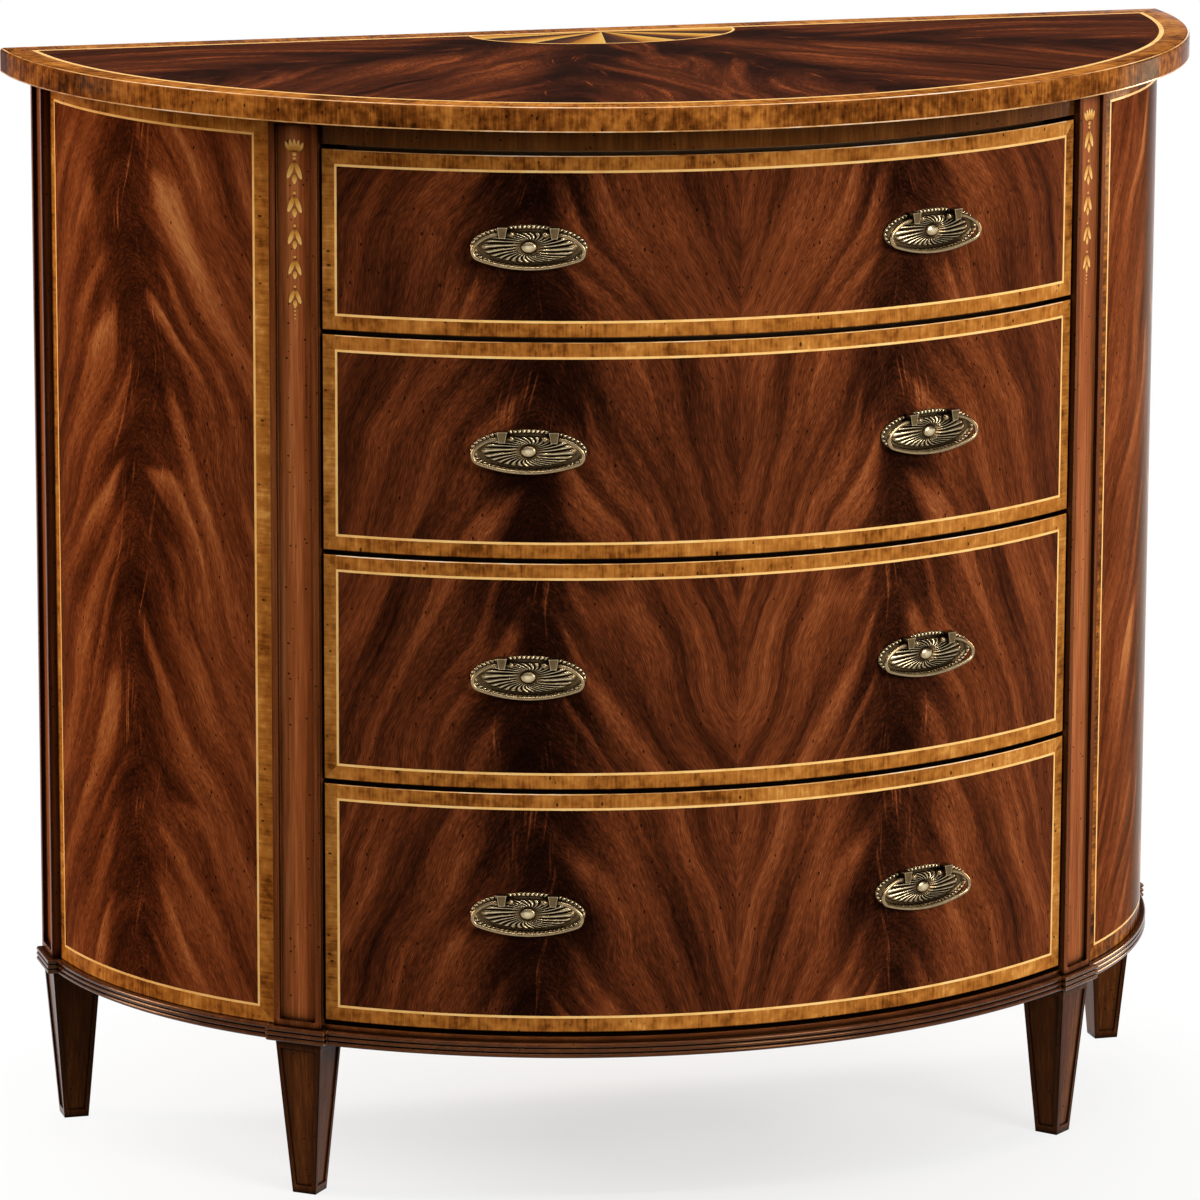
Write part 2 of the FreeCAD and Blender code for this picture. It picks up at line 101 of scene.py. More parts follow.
# Husks on the front posts, heights from the floor
husk_crown = 866.0
husk_crown_petal = 10.4
husk_crown_spread = 8.0
husk_crown_root = 2.6
husk_crown_droop = 2.4
husk_crown_petal_width = 3.2
husk_crown_bow = 0.8
husk_crown_bead = 3.8
husk_crown_bead_drop = 1.6
husk_rise = 0.25
husk_flowers = 5
husk_first_top = 858.75
husk_pitch = 27.8
husk_length = 19.0
husk_width = 12.6
husk_shrink = 0.95
husk_bead = 3.0
husk_bead_rise = 2.4
husk_root_gap = 0.3
husk_side_petal = 4.3
husk_side_length = 0.78
husk_middle_petal = 4.4
husk_middle_start = 0.52
husk_end_beads = 4
husk_end_rise = 8.0
husk_bead_pitch = 3.1
husk_end_bead = 2.4
husk_end_shrink = 0.25
petal_steps = 10
petal_sharp_angle = 60.0
slim_petal = 0.5
crown_petal = 0.6
full_petal = 0.8

# Handles
handle_arc = 170.5
plate_width = 93.4
plate_height = 36.0
plate_thickness = 1.1
rim_width = 3.2
bead_count = 56
bead_facets = 8
bead_rings = 8
rosette_width = 74.0
rosette_height = 24.4
rosette_rings = 12
rib_count = 28
rib_height = 1.5
rib_sweep = 0.34
rib_end = 0.35
rib_rise_rate = 9.0
rib_fall_rate = 5.0
bead_height = 1.3
plate_hollow = 0.35
plate_hollow_rings = (0.2, 0.5, 0.9)
plate_back_rings = (0.0, 0.25, 0.5, 0.75, 1.0)
boss_width = 13.0
boss_height = 9.8
boss_rings = 8
button_gap = 0.8
button_rise = 2.0
rosette_step = 0.3
rosette_rise = 1.5
bail_wire = 3.4
bail_width = 88.6
bail_drop = 16.2
bail_pivot_rise = 11.0
bail_pin_end = 22.0
bail_shoulder_radius = 28.0
bail_end_radius = 7.0
bail_stand_off = 6.5
bail_ball = 5.0
bail_ball_spacing = 26.8
pin_slack = 0.12
pin_reach = 25.0
bail_sides = 16
bail_ball_steps = 8
bail_arc_steps = (10, 14, 20)
metal_sharp_angle = 50.0

# Eased edges of the solids
weld_gap = 0.01
ease_segments = 2
ease_angle = 40.0
post_ease = 0.6
board_ease = 0.5
rail_ease = 0.4

# Sizes that follow from these
top_string_line = top_band + top_string
top_hub = Vector((0.0, -top_string_line))
top_leaf_edges = (-90.0, -top_joint_angle, 0.0, top_joint_angle, 90.0)
half_post = post_width / 2
post_turn = math.radians(post_angle)


class HalfOval:
    """Plan of one front arc and two end arcs that meet the back line squarely."""

    def __init__(self, width, depth, bend_angle):
        self.half = width / 2
        self.bend = math.radians(bend_angle)
        spread = math.tan(self.bend) + 1 - 1 / math.cos(self.bend)
        self.front_centre = (self.half - depth) / spread
        self.front_radius = depth + self.front_centre
        self.end_centre = self.front_centre * math.tan(self.bend)
        self.end_radius = self.half - self.end_centre

    def front_point(self, turn, offset=0.0, level=0.0):
        radius = self.front_radius + offset
        return Vector((radius * math.sin(turn), self.front_centre - radius * math.cos(turn), level))

    def end_point(self, turn, offset=0.0, level=0.0):
        radius = self.end_radius + offset
        return Vector((self.end_centre + radius * math.sin(turn), -radius * math.cos(turn), level))

    def reach(self, start, heading, offset):
        """How far the outline, moved in or out by offset, lies from start along a heading from the front."""
        way = Vector((math.sin(heading), -math.cos(heading)))
        side = math.copysign(1, heading)
        circles = (
            (Vector((0, self.front_centre)), self.front_radius + offset),
            (Vector((side * self.end_centre, 0)), self.end_radius + offset),
        )
        for centre, radius in circles:
            gap = start - centre
            along = gap.dot(way)
            distance = -along + math.sqrt(along ** 2 - gap.length_squared + radius ** 2)
            spot = start + way * distance - centre
            if abs(math.atan2(spot.x, -spot.y)) <= self.bend:
                return distance
        return distance


top_plan = HalfOval(top_width, top_depth, top_bend_angle)
case_plan = HalfOval(case_width, case_depth, case_bend_angle)
post_inset = post_proud - half_post


def blend(first, last, share):
    return first + (last - first) * share


def mirrored(point):
    return Vector((-point.x, point.y, point.z))


def heights(node):
    """Lowest and highest level of a solid."""
    low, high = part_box(node)
    return low.z / mm, high.z / mm


class Skin:
    """Gathers faces in millimetres, each with a finish and grain coordinates, and makes one mesh of them."""

    def __init__(self):
        self.numbers = {}
        self.points = []
        self.faces = []

    def corner(self, point):
        key = tuple(round(value, 3) for value in point)
        if key not in self.numbers:
            self.numbers[key] = len(self.points)
            self.points.append((point.x * mm, (point.y + top_depth / 2) * mm, point.z * mm))
        return self.numbers[key]

    def face(self, points, finish, grain=None):
        corners = [self.corner(point) for point in points]
        grain = grain or [(0.0, 0.0)] * len(points)
        kept = [at for at in range(len(corners)) if corners[at] != corners[at - 1]]
        if len(kept) > 2:
            self.faces.append(([corners[at] for at in kept], finish, [grain[at] for at in kept]))

    def turn_over(self):
        """Reverses every face, for a shape that was mirrored."""
        self.faces = [(corners[::-1], finish, grain[::-1]) for corners, finish, grain in self.faces]

    def mesh(self, name, sharp_angle=board_sharp_angle):
        mesh = bpy.data.meshes.new(name)
        mesh.from_pydata(self.points, [], [corners for corners, _, _ in self.faces])
        finishes = list(dict.fromkeys(finish for _, finish, _ in self.faces))
        for finish in finishes:
            mesh.materials.append(finish)
        mesh.polygons.foreach_set("material_index", [finishes.index(finish) for _, finish, _ in self.faces])
        layer = mesh.uv_layers.new(name="grain")
        flat = [value for _, _, grain in self.faces for spot in grain for value in spot]
        layer.uv.foreach_set("vector", flat)
        mesh.shade_smooth()
        mesh.set_sharp_from_angle(angle=math.radians(sharp_angle))
        return mesh


def put(name, data):
    """Adds one object to the scene."""
    thing = bpy.data.objects.new(name, data)
    bpy.context.scene.collection.objects.link(thing)
    return thing


def piece(name, mesh, body, nodes=(), place=None):
    """Puts a mesh in the scene, riding on a body and standing for solids."""
    thing = put(name, mesh)
    if place is not None:
        thing.matrix_world = place
    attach(thing, body)
    if nodes:
        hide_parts(*nodes)
    return thing


# Finishes

def linear(code):
    """sRGB hex code as linear colour."""
    values = [int(code[at:at + 2], 16) / 255 for at in (1, 3, 5)]
    return [v / 12.92 if v <= 0.04045 else ((v + 0.055) / 1.055) ** 2.4 for v in values] + [1.0]


class Finish:
    """The nodes of one material or of the world, and the one way that nodes are added."""

    def __init__(self, owner):
        owner.use_nodes = True
        self.owner = owner
        self.tree = owner.node_tree
        self.tree.nodes.clear()

    def add(self, kind, inputs=(), operation=None, stops=(), **settings):
        """One node; inputs are sockets, nodes or values by number or name, stops the colours of a ramp."""
        node = self.tree.nodes.new("ShaderNode" + kind)
        if operation:
            node.operation = operation
        for name, value in settings.items():
            setattr(node, name, value)
        for key, value in inputs.items() if isinstance(inputs, dict) else enumerate(inputs):
            if isinstance(value, bpy.types.Node):
                value = value.outputs[0]
            if isinstance(value, bpy.types.NodeSocket):
                self.tree.links.new(value, node.inputs[key])
            else:
                node.inputs[key].default_value = value
        for number, (spot, code) in enumerate(stops):
            ramp = node.color_ramp.elements
            stop = ramp[number] if number < 2 else ramp.new(spot)
            stop.position = spot
            stop.color = linear(code)
        return node

    def show(self, colour, roughness, **sockets):
        """Ends the material in one shader; sockets are named with spaces as underscores."""
        inputs = {"Base Color": colour, "Roughness": roughness}
        inputs.update({key.replace("_", " "): value for key, value in sockets.items()})
        shader = self.add("BsdfPrincipled", inputs)
        self.add("OutputMaterial", {"Surface": shader})
        return self.owner


smooth = {"interpolation_type": "SMOOTHSTEP"}


def veneer(name):
    """Starts a material that follows the grain coordinates of a laid surface."""
    finish = Finish(bpy.data.materials.new(name))
    return finish, finish.add("UVMap", uv_map="grain")


def solid(name):
    """Starts a material that runs through a piece, measured in millimetres."""
    finish = Finish(bpy.data.materials.new(name))
    place = finish.add("TexCoord")
    return finish, finish.add("VectorMath", [place.outputs["Object"], [1 / mm] * 3], "MULTIPLY")


def layers(finish, spot, start, steps):
    """Adds weighted noise to a starting value; each step is sizes in millimetres, weight and detail."""
    value = start
    for sizes, weight, detail in steps:
        place = finish.add("VectorMath", [spot, [1 / size for size in sizes]], "MULTIPLY")
        noise = finish.add("TexNoise", {"Vector": place, "Scale": 1.0, "Detail": detail, "Roughness": 0.55})
        centred = finish.add("Math", [noise, 0.5], "SUBTRACT")
        value = finish.add("Math", [centred, weight, value], "MULTIPLY_ADD")
    return value


def flecked(finish, colour, spot, spread, share):
    """Small dark specks of wax rubbed into pores and dents, as on an antiqued surface."""
    add = finish.add
    sizes = (spread, spread * speck_stretch, spread)
    place = add("VectorMath", [spot, [1 / size for size in sizes]], "MULTIPLY")
    cells = add("TexVoronoi", {"Vector": place, "Scale": 1.0})
    chance = add("SeparateColor", [cells.outputs["Color"]])
    chosen = add("Math", [chance.outputs[0], share], "LESS_THAN")
    size = add("MapRange", [chance.outputs[1], 0.0, 1.0, *speck_sizes])
    near = add("Math", [size, cells.outputs["Distance"]], "SUBTRACT")
    sharp = add("Math", [near, speck_edge], "MULTIPLY", use_clamp=True)
    mark = add("Math", [sharp, chosen], "MULTIPLY")
    faint = add("Math", [mark, speck_strength], "MULTIPLY")
    return add("MixRGB", [faint, colour, linear("#140702")])


def shellac(finish, colour, roughness, gloss, bloom=0.0):
    """Thin amber shellac rubbed down with wax: a low warm gloss, and with bloom an amber haze
    at a glancing angle."""
    amber = linear("#e0a878")
    if not bloom:
        return finish.show(colour, roughness, IOR=polish_ior, Specular_IOR_Level=gloss, Specular_Tint=amber)
    facing = finish.add("LayerWeight").outputs["Facing"]
    edge_gloss = finish.add("MapRange", [facing, 0.80, 0.92, 0.0, gloss])
    edge_bloom = finish.add("MapRange", [facing, 0.50, 0.86, 0.0, bloom])
    return finish.show(
        colour, roughness, IOR=polish_ior, Specular_IOR_Level=edge_gloss, Specular_Tint=amber,
        Sheen_Weight=edge_bloom, Sheen_Roughness=0.3, Sheen_Tint=linear("#e0b48c"),
    )


def plumes(finish, fibre, flow, beside, apart, fading, ground):
    """Tone of the plumes: staggered on the two sides of the spine, each with its own strength and tip."""
    add = finish.add
    side = add("Math", [beside], "SIGN")
    count = add("Math", [flow, plume_pitch], "DIVIDE")
    stagger = add("Math", [side, 0.27, count], "MULTIPLY_ADD")
    phase = layers(finish, fibre, stagger, (((170, 120, 1), 2.6, 1.0),))
    number = add("Math", [phase], "FLOOR")
    key = add("Math", [side, 31.3, number], "MULTIPLY_ADD")
    chance = add("TexWhiteNoise", {"W": key}, noise_dimensions="1D")
    chances = add("SeparateColor", [chance.outputs["Color"]])
    share = add("Math", [phase], "FRACT")
    # Each plume is brightest along its upper edge and fades below it
    rise = add("Math", [share, 1.5], "POWER")
    edge = add("MapRange", [share, 0.80, 1.0, 1.0, 0.0], **smooth)
    body = add("Math", [rise, edge], "MULTIPLY")
    off_ridge = add("Math", [share, plume_pitch, -plume_ridge], "MULTIPLY_ADD")
    tip_start = add("MapRange", [chances.outputs[0], 0.0, 1.0, 2.0, 34.0])
    curve = add("Math", [off_ridge, off_ridge], "MULTIPLY")
    tip_line = add("Math", [curve, 0.035, tip_start], "MULTIPLY_ADD")
    past_tip = add("Math", [apart, tip_line], "SUBTRACT")
    tip = add("MapRange", [past_tip, 0.0, 20.0], **smooth)
    plume = add("Math", [body, tip], "MULTIPLY")
    own = add("MapRange", [chances.outputs[1], 0.0, 1.0, 0.25, 1.0])
    strength = add("Math", [own, fading], "MULTIPLY")
    return add("Math", [plume, strength, ground], "MULTIPLY_ADD")


def feathers(finish, level, beside, away, tone):
    """Adds hair-thin feathers that lean up the spine in broken tufts."""
    add = finish.add
    lean = add("Math", [level, 0.13, beside], "MULTIPLY_ADD")
    strand = add("CombineXYZ", [lean, level, 0.0])
    hairs = layers(finish, strand, 0.5, (((3.2, 80, 1), 1.0, 2.0),))
    thin = add("MapRange", [hairs, 0.54, 0.70, 0.0, 0.34])
    inside = add("MapRange", [away, 20.0, 42.0, 1.0, 0.0])
    tufts = layers(finish, strand, 0.5, (((18, 70, 1), 1.0, 1.0),))
    broken = add("MapRange", [tufts, 0.50, 0.62])
    tuft = add("Math", [inside, broken], "MULTIPLY")
    return add("Math", [thin, tuft, tone], "MULTIPLY_ADD")


def flame_mahogany(name, ground, plume_strength, spine_shade, roughness, gloss, bloom=0.0):
    """Crotch-cut mahogany veneer, sanded flat and French polished: a soft dark spine with hair-thin
    feathers, plumes with bright rounded tips that fall away from it, long calm streaks and short pores."""
    finish, spot = veneer(name)
    add = finish.add
    parts = add("SeparateXYZ", [spot])
    # The spine wanders over about 200 mm and the fibres wave gently over about 150 mm
    beside = layers(finish, spot, parts.outputs[0], (((900, 190, 1), 70.0, 1.0), ((90, 60, 1), 12.0, 1.0)))
    height = layers(finish, spot, parts.outputs[1], (((120, 170, 1), 60.0, 1.0),))
    # Fibres arch over the spine, leave it at about 50 degrees and steepen to about 70
    squared = add("Math", [beside, beside, 7.0 ** 2], "MULTIPLY_ADD")
    away = add("Math", [squared, 0.5], "POWER")
    steep = add("Math", [away, 0.0055, 1.05], "MULTIPLY_ADD")
    flow = add("Math", [away, steep, height], "MULTIPLY_ADD")
    fibre = add("CombineXYZ", [flow, beside, 0.0])
    apart = add("Math", [beside], "ABSOLUTE")
    fading = add("MapRange", [away, 25.0, 115.0, plume_strength, 0.0])
    tone = plumes(finish, fibre, flow, beside, apart, fading, ground)
    # Long streaks, strong in some patches and calm in others, then fine grain and pores
    patch = layers(finish, spot, 0.5, (((110, 90, 1), 1.0, 1.0),))
    calm = add("MapRange", [patch, 0.36, 0.64, 0.2, 1.0])
    clear = add("MapRange", [apart, 8.0, 36.0])
    calm = add("Math", [calm, clear], "MULTIPLY")
    streaks = layers(finish, fibre, 0.0, (((46, 420, 1), 0.56, 2.0), ((13, 200, 1), 0.14, 2.0)))
    tone = add("Math", [streaks, calm, tone], "MULTIPLY_ADD")
    tone = layers(finish, fibre, tone, (
        ((60, 100, 1), 0.55, 3.0),
        ((9, 22, 1), 0.18, 2.0),
        ((3.5, 8, 1), 0.22, 2.0),
        ((1.7, 3.2, 1), 0.42, 1.0),
    ))
    # The spine is dark for some 30 to 60 mm on each side
    width = layers(finish, fibre, 52.0, (((70, 60, 1), 80.0, 1.0),))
    depth = add("Math", [away, width], "DIVIDE")
    shade = add("MapRange", [depth, 0.1, 1.3, spine_shade, 0.0], **smooth)
    tone = add("Math", [tone, shade], "SUBTRACT")
    tone = feathers(finish, parts.outputs[1], beside, away, tone)
    colour = add("ValToRGB", [tone], stops=(
        (0.05, "#110502"), (0.85, "#bd7c48"), (0.19, "#240e06"),
        (0.34, "#451f0f"), (0.47, "#673118"), (0.62, "#8e4c27"),
    ))
    colour = flecked(finish, colour, spot, 6.0, 0.85)
    rough = add("MapRange", [tone, 0.0, 1.0, roughness * 1.2, roughness * 0.8])
    return shellac(finish, colour, rough, gloss, bloom)


def crossband_mahogany(name, pale):
    """Straight-grained mahogany cut across the leaf for banding: narrow golden stripes across
    the strip, leaves of slightly different tone end to end, specks of dark wax."""
    finish, spot = veneer(name)
    add = finish.add
    # Cross grain drawn at about 2 mm, coarser than real, so that it shows
    parts = add("SeparateXYZ", [spot])
    leaf = add("Math", [parts.outputs[0], band_leaf], "DIVIDE")
    number = add("Math", [leaf], "FLOOR")
    tint = add("TexWhiteNoise", {"W": number}, noise_dimensions="1D")
    start = add("Math", [tint.outputs["Value"], 2 * band_leaf_tone, pale - band_leaf_tone], "MULTIPLY_ADD")
    tone = layers(finish, spot, start, (
        ((60, 60, 1), 0.9, 2.0),
        ((2.4, 26, 1), 0.65, 3.0),
        ((9.0, 9.0, 1), 0.85, 4.0),
    ))
    colour = add("ValToRGB", [tone], stops=(
        (0.05, "#361806"), (0.95, "#e2a556"), (0.3, "#743f15"), (0.5, "#a46426"), (0.7, "#bd7a34"),
    ))
    colour = flecked(finish, colour, spot, 7.0, 0.8)
    return shellac(finish, colour, 0.14, 0.006)


def painted_highlight_edge():
    """Painted highlight along an arris or the top edge of a board: a pale, broken, bright line."""
    finish, spot = veneer("painted_highlight_arris")
    tone = layers(finish, spot, 0.5, (((160, 160, 1), 1.3, 1.0), ((14, 14, 1), 0.6, 3.0)))
    colour = finish.add("ValToRGB", [tone], stops=((0.2, "#7a4519"), (0.8, "#f6e2c6"), (0.5, "#d8a468")))
    return shellac(finish, colour, 0.15, 0.35)


def boxwood_stringing():
    """Boxwood line, scraped flush under the polish: pale, close-grained, warm yellow."""
    finish, spot = veneer("boxwood_stringing_polished")
    tone = layers(finish, spot, 0.5, (((22, 8, 1), 0.9, 3.0), ((3, 3, 1), 0.3, 2.0)))
    colour = finish.add("ValToRGB", [tone], stops=((0.1, "#d8954c"), (0.9, "#ffdc9e"), (0.5, "#fcc878")))
    return shellac(finish, colour, 0.18, 0.02)


def shaded_boxwood():
    """Boxwood petals scorched in hot sand: pale at the tips, brown towards the root."""
    finish, spot = veneer("boxwood_sand_shaded")
    parts = finish.add("SeparateXYZ", [spot])
    tone = layers(finish, spot, parts.outputs[1], (((1, 0.2, 1), 0.5, 2.0),))
    colour = finish.add("ValToRGB", [tone], stops=((0.0, "#7a4015"), (0.85, "#f4c374"), (0.35, "#d69a45")))
    return shellac(finish, colour, 0.3, 0.03)


def fan_wood(name, dark, middle, pale):
    """Fan leaves of satinwood or walnut, one edge shaded in hot sand."""
    finish, spot = veneer(name)
    parts = finish.add("SeparateXYZ", [spot])
    tone = layers(finish, spot, parts.outputs[0], (((0.12, 60, 1), 0.5, 3.0),))
    colour = finish.add("ValToRGB", [tone], stops=((0.0, dark), (1.0, pale), (0.45, middle)))
    return shellac(finish, colour, 0.1, 0.03)


def straight_wood(name, sizes, colours):
    """Straight-grained timber planed along the grain: long stripes with short dark pores.
    Sizes stretch the stripe along the board."""
    finish, spot = solid(name)
    wide = [size * 5 for size in sizes]
    fine = [size * 0.4 for size in sizes]
    tone = layers(finish, spot, 0.5, ((wide, 0.6, 3.0), (sizes, 0.5, 3.0), (fine, 0.3, 2.0)))
    dark, middle, pale = colours
    colour = finish.add("ValToRGB", [tone], stops=((0.15, dark), (0.9, pale), (0.5, middle)))
    return finish, spot, colour


def waxed_mahogany(name, sizes, colours, wax_and_shade_depth, edge_depth, edge_code, edge_share, roughness, gloss):
    """Solid mahogany, stained and waxed: dark wax in the pores, dark wax and painted shade in the inner
    corners and under overhangs, edges of another tone.
    """
    finish, spot, colour = straight_wood(name, sizes, colours)
    add = finish.add
    colour = flecked(finish, colour, spot, 6.0, 0.9)
    # Painted shade together with dark wax: darker wherever another surface lies close, in inner corners,
    # recesses and under the overhang of the top
    corner = add("AmbientOcclusion", {"Distance": wax_and_shade_depth * mm}, samples=6)
    clear_of_wax_and_shade = add("MapRange", [corner.outputs["AO"], 0.58, 0.96])
    colour = add("MixRGB", [clear_of_wax_and_shade, linear("#0b0401"), colour])
    arris = add("AmbientOcclusion", {"Distance": edge_depth * mm}, samples=6, inside=True)
    edge_tone = add("MapRange", [arris.outputs["AO"], 0.76, 0.46, 0.0, edge_share])
    colour = add("MixRGB", [edge_tone, colour, linear(edge_code)])
    return shellac(finish, colour, roughness, gloss)


def bare_wood(name, sizes, colours):
    """Planed secondary timber without polish: dry, open grain."""
    finish, _, colour = straight_wood(name, sizes, colours)
    return finish.show(colour, dry_roughness, IOR=polish_ior)


def antique_brass(name, relief_share, edge_share, bright):
    """Brass browned and rubbed back: dark patina with painted shade in the hollows and under the bail, pale
    rubbed metal with painted highlight on the relief and edges.
    """
    finish, spot = solid(name)
    add = finish.add
    # Dark patina and painted shade: darker near any close surface, in the hollows and on the plate under the
    # bail
    hollow = add("AmbientOcclusion", {"Distance": 4.0 * mm}, samples=8)
    # Paler on the raised relief and on edges: rubbed metal, and painted highlight
    relief = add("SeparateXYZ", [add("UVMap", uv_map="grain")])
    start = add("Math", [relief, relief_share, hollow.outputs["AO"]], "MULTIPLY_ADD")
    edge = add("AmbientOcclusion", {"Distance": 1.0 * mm}, samples=6, inside=True)
    edge_tone = add("MapRange", [edge.outputs["AO"], 0.75, 0.45, 0.0, edge_share])
    rubbed = layers(finish, spot, add("Math", [start, edge_tone]), (((4, 4, 4), 0.3, 4.0),))
    level = add("MapRange", [rubbed, 0.45 - bright, 1.30 - bright])
    colour = add("ValToRGB", [level], stops=(
        (0.0, "#0e0803"), (1.0, "#d8c6a0"), (0.35, "#382a19"), (0.62, "#705c3f"), (0.82, "#a08a67"),
    ))
    rough = add("MapRange", [level, 0.0, 1.0, 0.45, 0.2])
    return finish.show(colour, rough, Metallic=1.0)


# The left leaves of the drawer fronts are a darker copy and the right leaves a lighter copy of one veneer:
# painted shade and painted light, one leaf of a bookmatched pair catching the light and the other not
left_flame_in_painted_shade = flame_mahogany("flame_mahogany_of_the_left_leaves_in_painted_shade", 0.37, 0.44, 0.24, 0.16, 0.012)
right_flame_in_painted_light = flame_mahogany("flame_mahogany_of_the_right_leaves_in_painted_light", 0.425, 0.44, 0.21, 0.16, 0.012)
side_flame = flame_mahogany("flame_mahogany_of_the_sides", 0.48, 0.58, 0.17, 0.09, 0.003, 0.65)
top_flame = flame_mahogany("flame_mahogany_of_the_top", 0.36, 0.28, 0.15, 0.07, 0.007)
crossband = crossband_mahogany("crossband_mahogany_of_the_panels", 0.55)
top_crossband = crossband_mahogany("crossband_mahogany_of_the_top", 0.46)
# A darker copy of the crossband, painted shade: on the upright edge of the top and on the banding of the
# right end
edge_crossband_in_painted_shade = crossband_mahogany("crossband_mahogany_of_the_edge_in_painted_shade", 0.31)
# Painted highlight for the arris and lower edge of the top and the top edge of every veneered board
painted_highlight = painted_highlight_edge()
boxwood = boxwood_stringing()
petal_wood = shaded_boxwood()
fan_pale = fan_wood("satinwood_fan_leaf", "#9c5c1c", "#cf9138", "#e9ba5e")
fan_dark = fan_wood("walnut_fan_leaf", "#2a1208", "#4a2410", "#6d3f1c")
brass = antique_brass("antique_brass_stamped", 0.36, 0.0, -0.08)
wire_brass = antique_brass("antique_brass_wire", 0.0, 0.0, 0.10)
plain_brass = antique_brass("antique_brass_plain", 0.0, 0.5, -0.08)
# Stripes of solid timber: thickness in millimetres, and length along the board
upright = (2.2, 2.2, 70.0)
lengthways = (70.0, 2.2, 2.2)
fore_and_aft = (2.2, 70.0, 2.2)
cross_cut = (3.0, 3.0, 40.0)
post_wood = waxed_mahogany(
    "mahogany_waxed_upright", upright, ("#3e1c0e", "#9c552b", "#d08a55"),
    11.0, 6.0, "#0e0502", 1.0, 0.16, 0.02,
)
leg_wood = waxed_mahogany(
    "mahogany_waxed_leg", upright, ("#1c0d05", "#522a11", "#8a5426"),
    8.0, 5.0, "#180a04", 0.85, 0.2, 0.08,
)
rail_wood = waxed_mahogany(
    "mahogany_waxed_lengthways", lengthways, ("#2a1107", "#5c2d12", "#8c5026"),
    7.0, 1.3, "#a86a34", 0.45, 0.2, 0.1,
)
reed_wood = waxed_mahogany(
    "mahogany_polished_reeds", lengthways, ("#1c0b05", "#462210", "#74401f"),
    4.5, 1.0, "#c08a5a", 0.5, 0.17, 0.6,
)
frieze_wood = waxed_mahogany(
    "mahogany_frieze_cross_grain", cross_cut, ("#2c1506", "#5a3111", "#885525"),
    5.0, 1.3, "#b87c40", 0.4, 0.2, 0.08,
)
lining_tones = ("#7a5128", "#b08552", "#cfab78")
lining_along = bare_wood("oak_lining_lengthways", lengthways, lining_tones)
lining_deep = bare_wood("oak_lining_fore_and_aft", fore_and_aft, lining_tones)
carcase_tones = ("#5f3d1d", "#93683a", "#b58a58")
carcase_along = bare_wood("pine_carcase_lengthways", lengthways, carcase_tones)
carcase_upright = bare_wood("pine_carcase_upright", upright, carcase_tones)
carcase_deep = bare_wood("pine_carcase_fore_and_aft", fore_and_aft, carcase_tones)


# Veneered boards

def grid_lines(stops, step):
    """Lines through every stop, no further apart than step."""
    lines = [stops[0]]
    for low, high in zip(stops, stops[1:]):
        parts = max(1, math.ceil((high - low) / step))
        lines += [blend(low, high, part / parts) for part in range(1, parts + 1)]
    return lines


def band_stops(start, end, first, last, joints=()):
    """Edges of the eased rim, the crossband and the stringing between two ends of a board, and its joints."""
    near = [start, start + edge_ease, start + first, start + first + string_width]
    far = [end - last - string_width, end - last, end - edge_ease, end]
    return [*near, *joints, *far]


def framed_panel(place, across, up, bands, band, joints, leaves, figure, thickness):
    """Closed board with a mitred crossband, a line of stringing and figured leaves between joints.
    place takes (along, level, rise); bands are the widths of the crossband at left, right, bottom and top."""
    skin = Skin()
    left, right, bottom, top = bands
    step = max(bands) + board_facet / 2
    columns = grid_lines(band_stops(*across, left, right, joints), step)
    rows = grid_lines(band_stops(*up, bottom, top), up[1] - up[0])
    last_column = len(columns) - 1
    last_row = len(rows) - 1

    def face_point(column, row):
        eased = column in (0, last_column) or row in (0, last_row)
        return place(columns[column], rows[row], -edge_ease if eased else 0.0)

    def back_point(column, row):
        return place(columns[column], rows[row], -thickness)

    def lay(cell, finish, upright_grain=True):
        points = [face_point(*at) for at in cell]
        spots = [(columns[column], rows[row]) for column, row in cell]
        if finish in leaves:
            spots = [figure(*spot) for spot in spots]
        elif not upright_grain:
            spots = [(spot[1] + across[1], spot[0]) for spot in spots]
        skin.face(points, finish, spots)

    for column in range(last_column):
        for row in range(last_row):
            cell = [(column, row), (column + 1, row), (column + 1, row + 1), (column, row + 1)]
            along = (columns[column] + columns[column + 1]) / 2
            level = (rows[row] + rows[row + 1]) / 2
            to_end = min(along - across[0] - left, across[1] - right - along)
            to_edge = min(level - up[0] - bottom, up[1] - top - level)
            inset = min(to_end, to_edge)
            if inset >= string_width:
                lay(cell, leaves[sum(along > joint for joint in joints)])
            elif inset >= 0:
                lay(cell, boxwood, to_edge < to_end)
            elif to_end < 0 and to_edge < 0:
                rising = (along < (across[0] + across[1]) / 2) == (level < (up[0] + up[1]) / 2)
                first, second = ((0, 1, 2), (0, 2, 3)) if rising else ((0, 1, 3), (1, 2, 3))
                for triangle in (first, second):
                    tip = [cell[at] for at in triangle]
                    beside_end = sum(columns[at[0]] for at in tip) / 3 - along
                    toward_end = beside_end < 0 if along < across[0] + left else beside_end > 0
                    lay(tip, band, not toward_end)
            # Painted highlight along the eased top edge of the board
            elif row == last_row - 1:
                lay(cell, painted_highlight)
            else:
                lay(cell, band, to_edge < to_end)
            skin.face([back_point(*at) for at in reversed(cell)], carcase_upright)

    rim = [(column, 0) for column in range(last_column)]
    rim += [(last_column, row) for row in range(last_row)]
    rim += [(column, last_row) for column in range(last_column, 0, -1)]
    rim += [(0, row) for row in range(last_row, 0, -1)]
    for here, there in zip(rim, rim[1:] + rim[:1]):
        points = [back_point(*here), back_point(*there), face_point(*there), face_point(*here)]
        length = (points[1] - points[0]).length
        skin.face(points, rail_wood, [(0, 0), (length, 0), (length, thickness), (0, thickness)])
    return skin


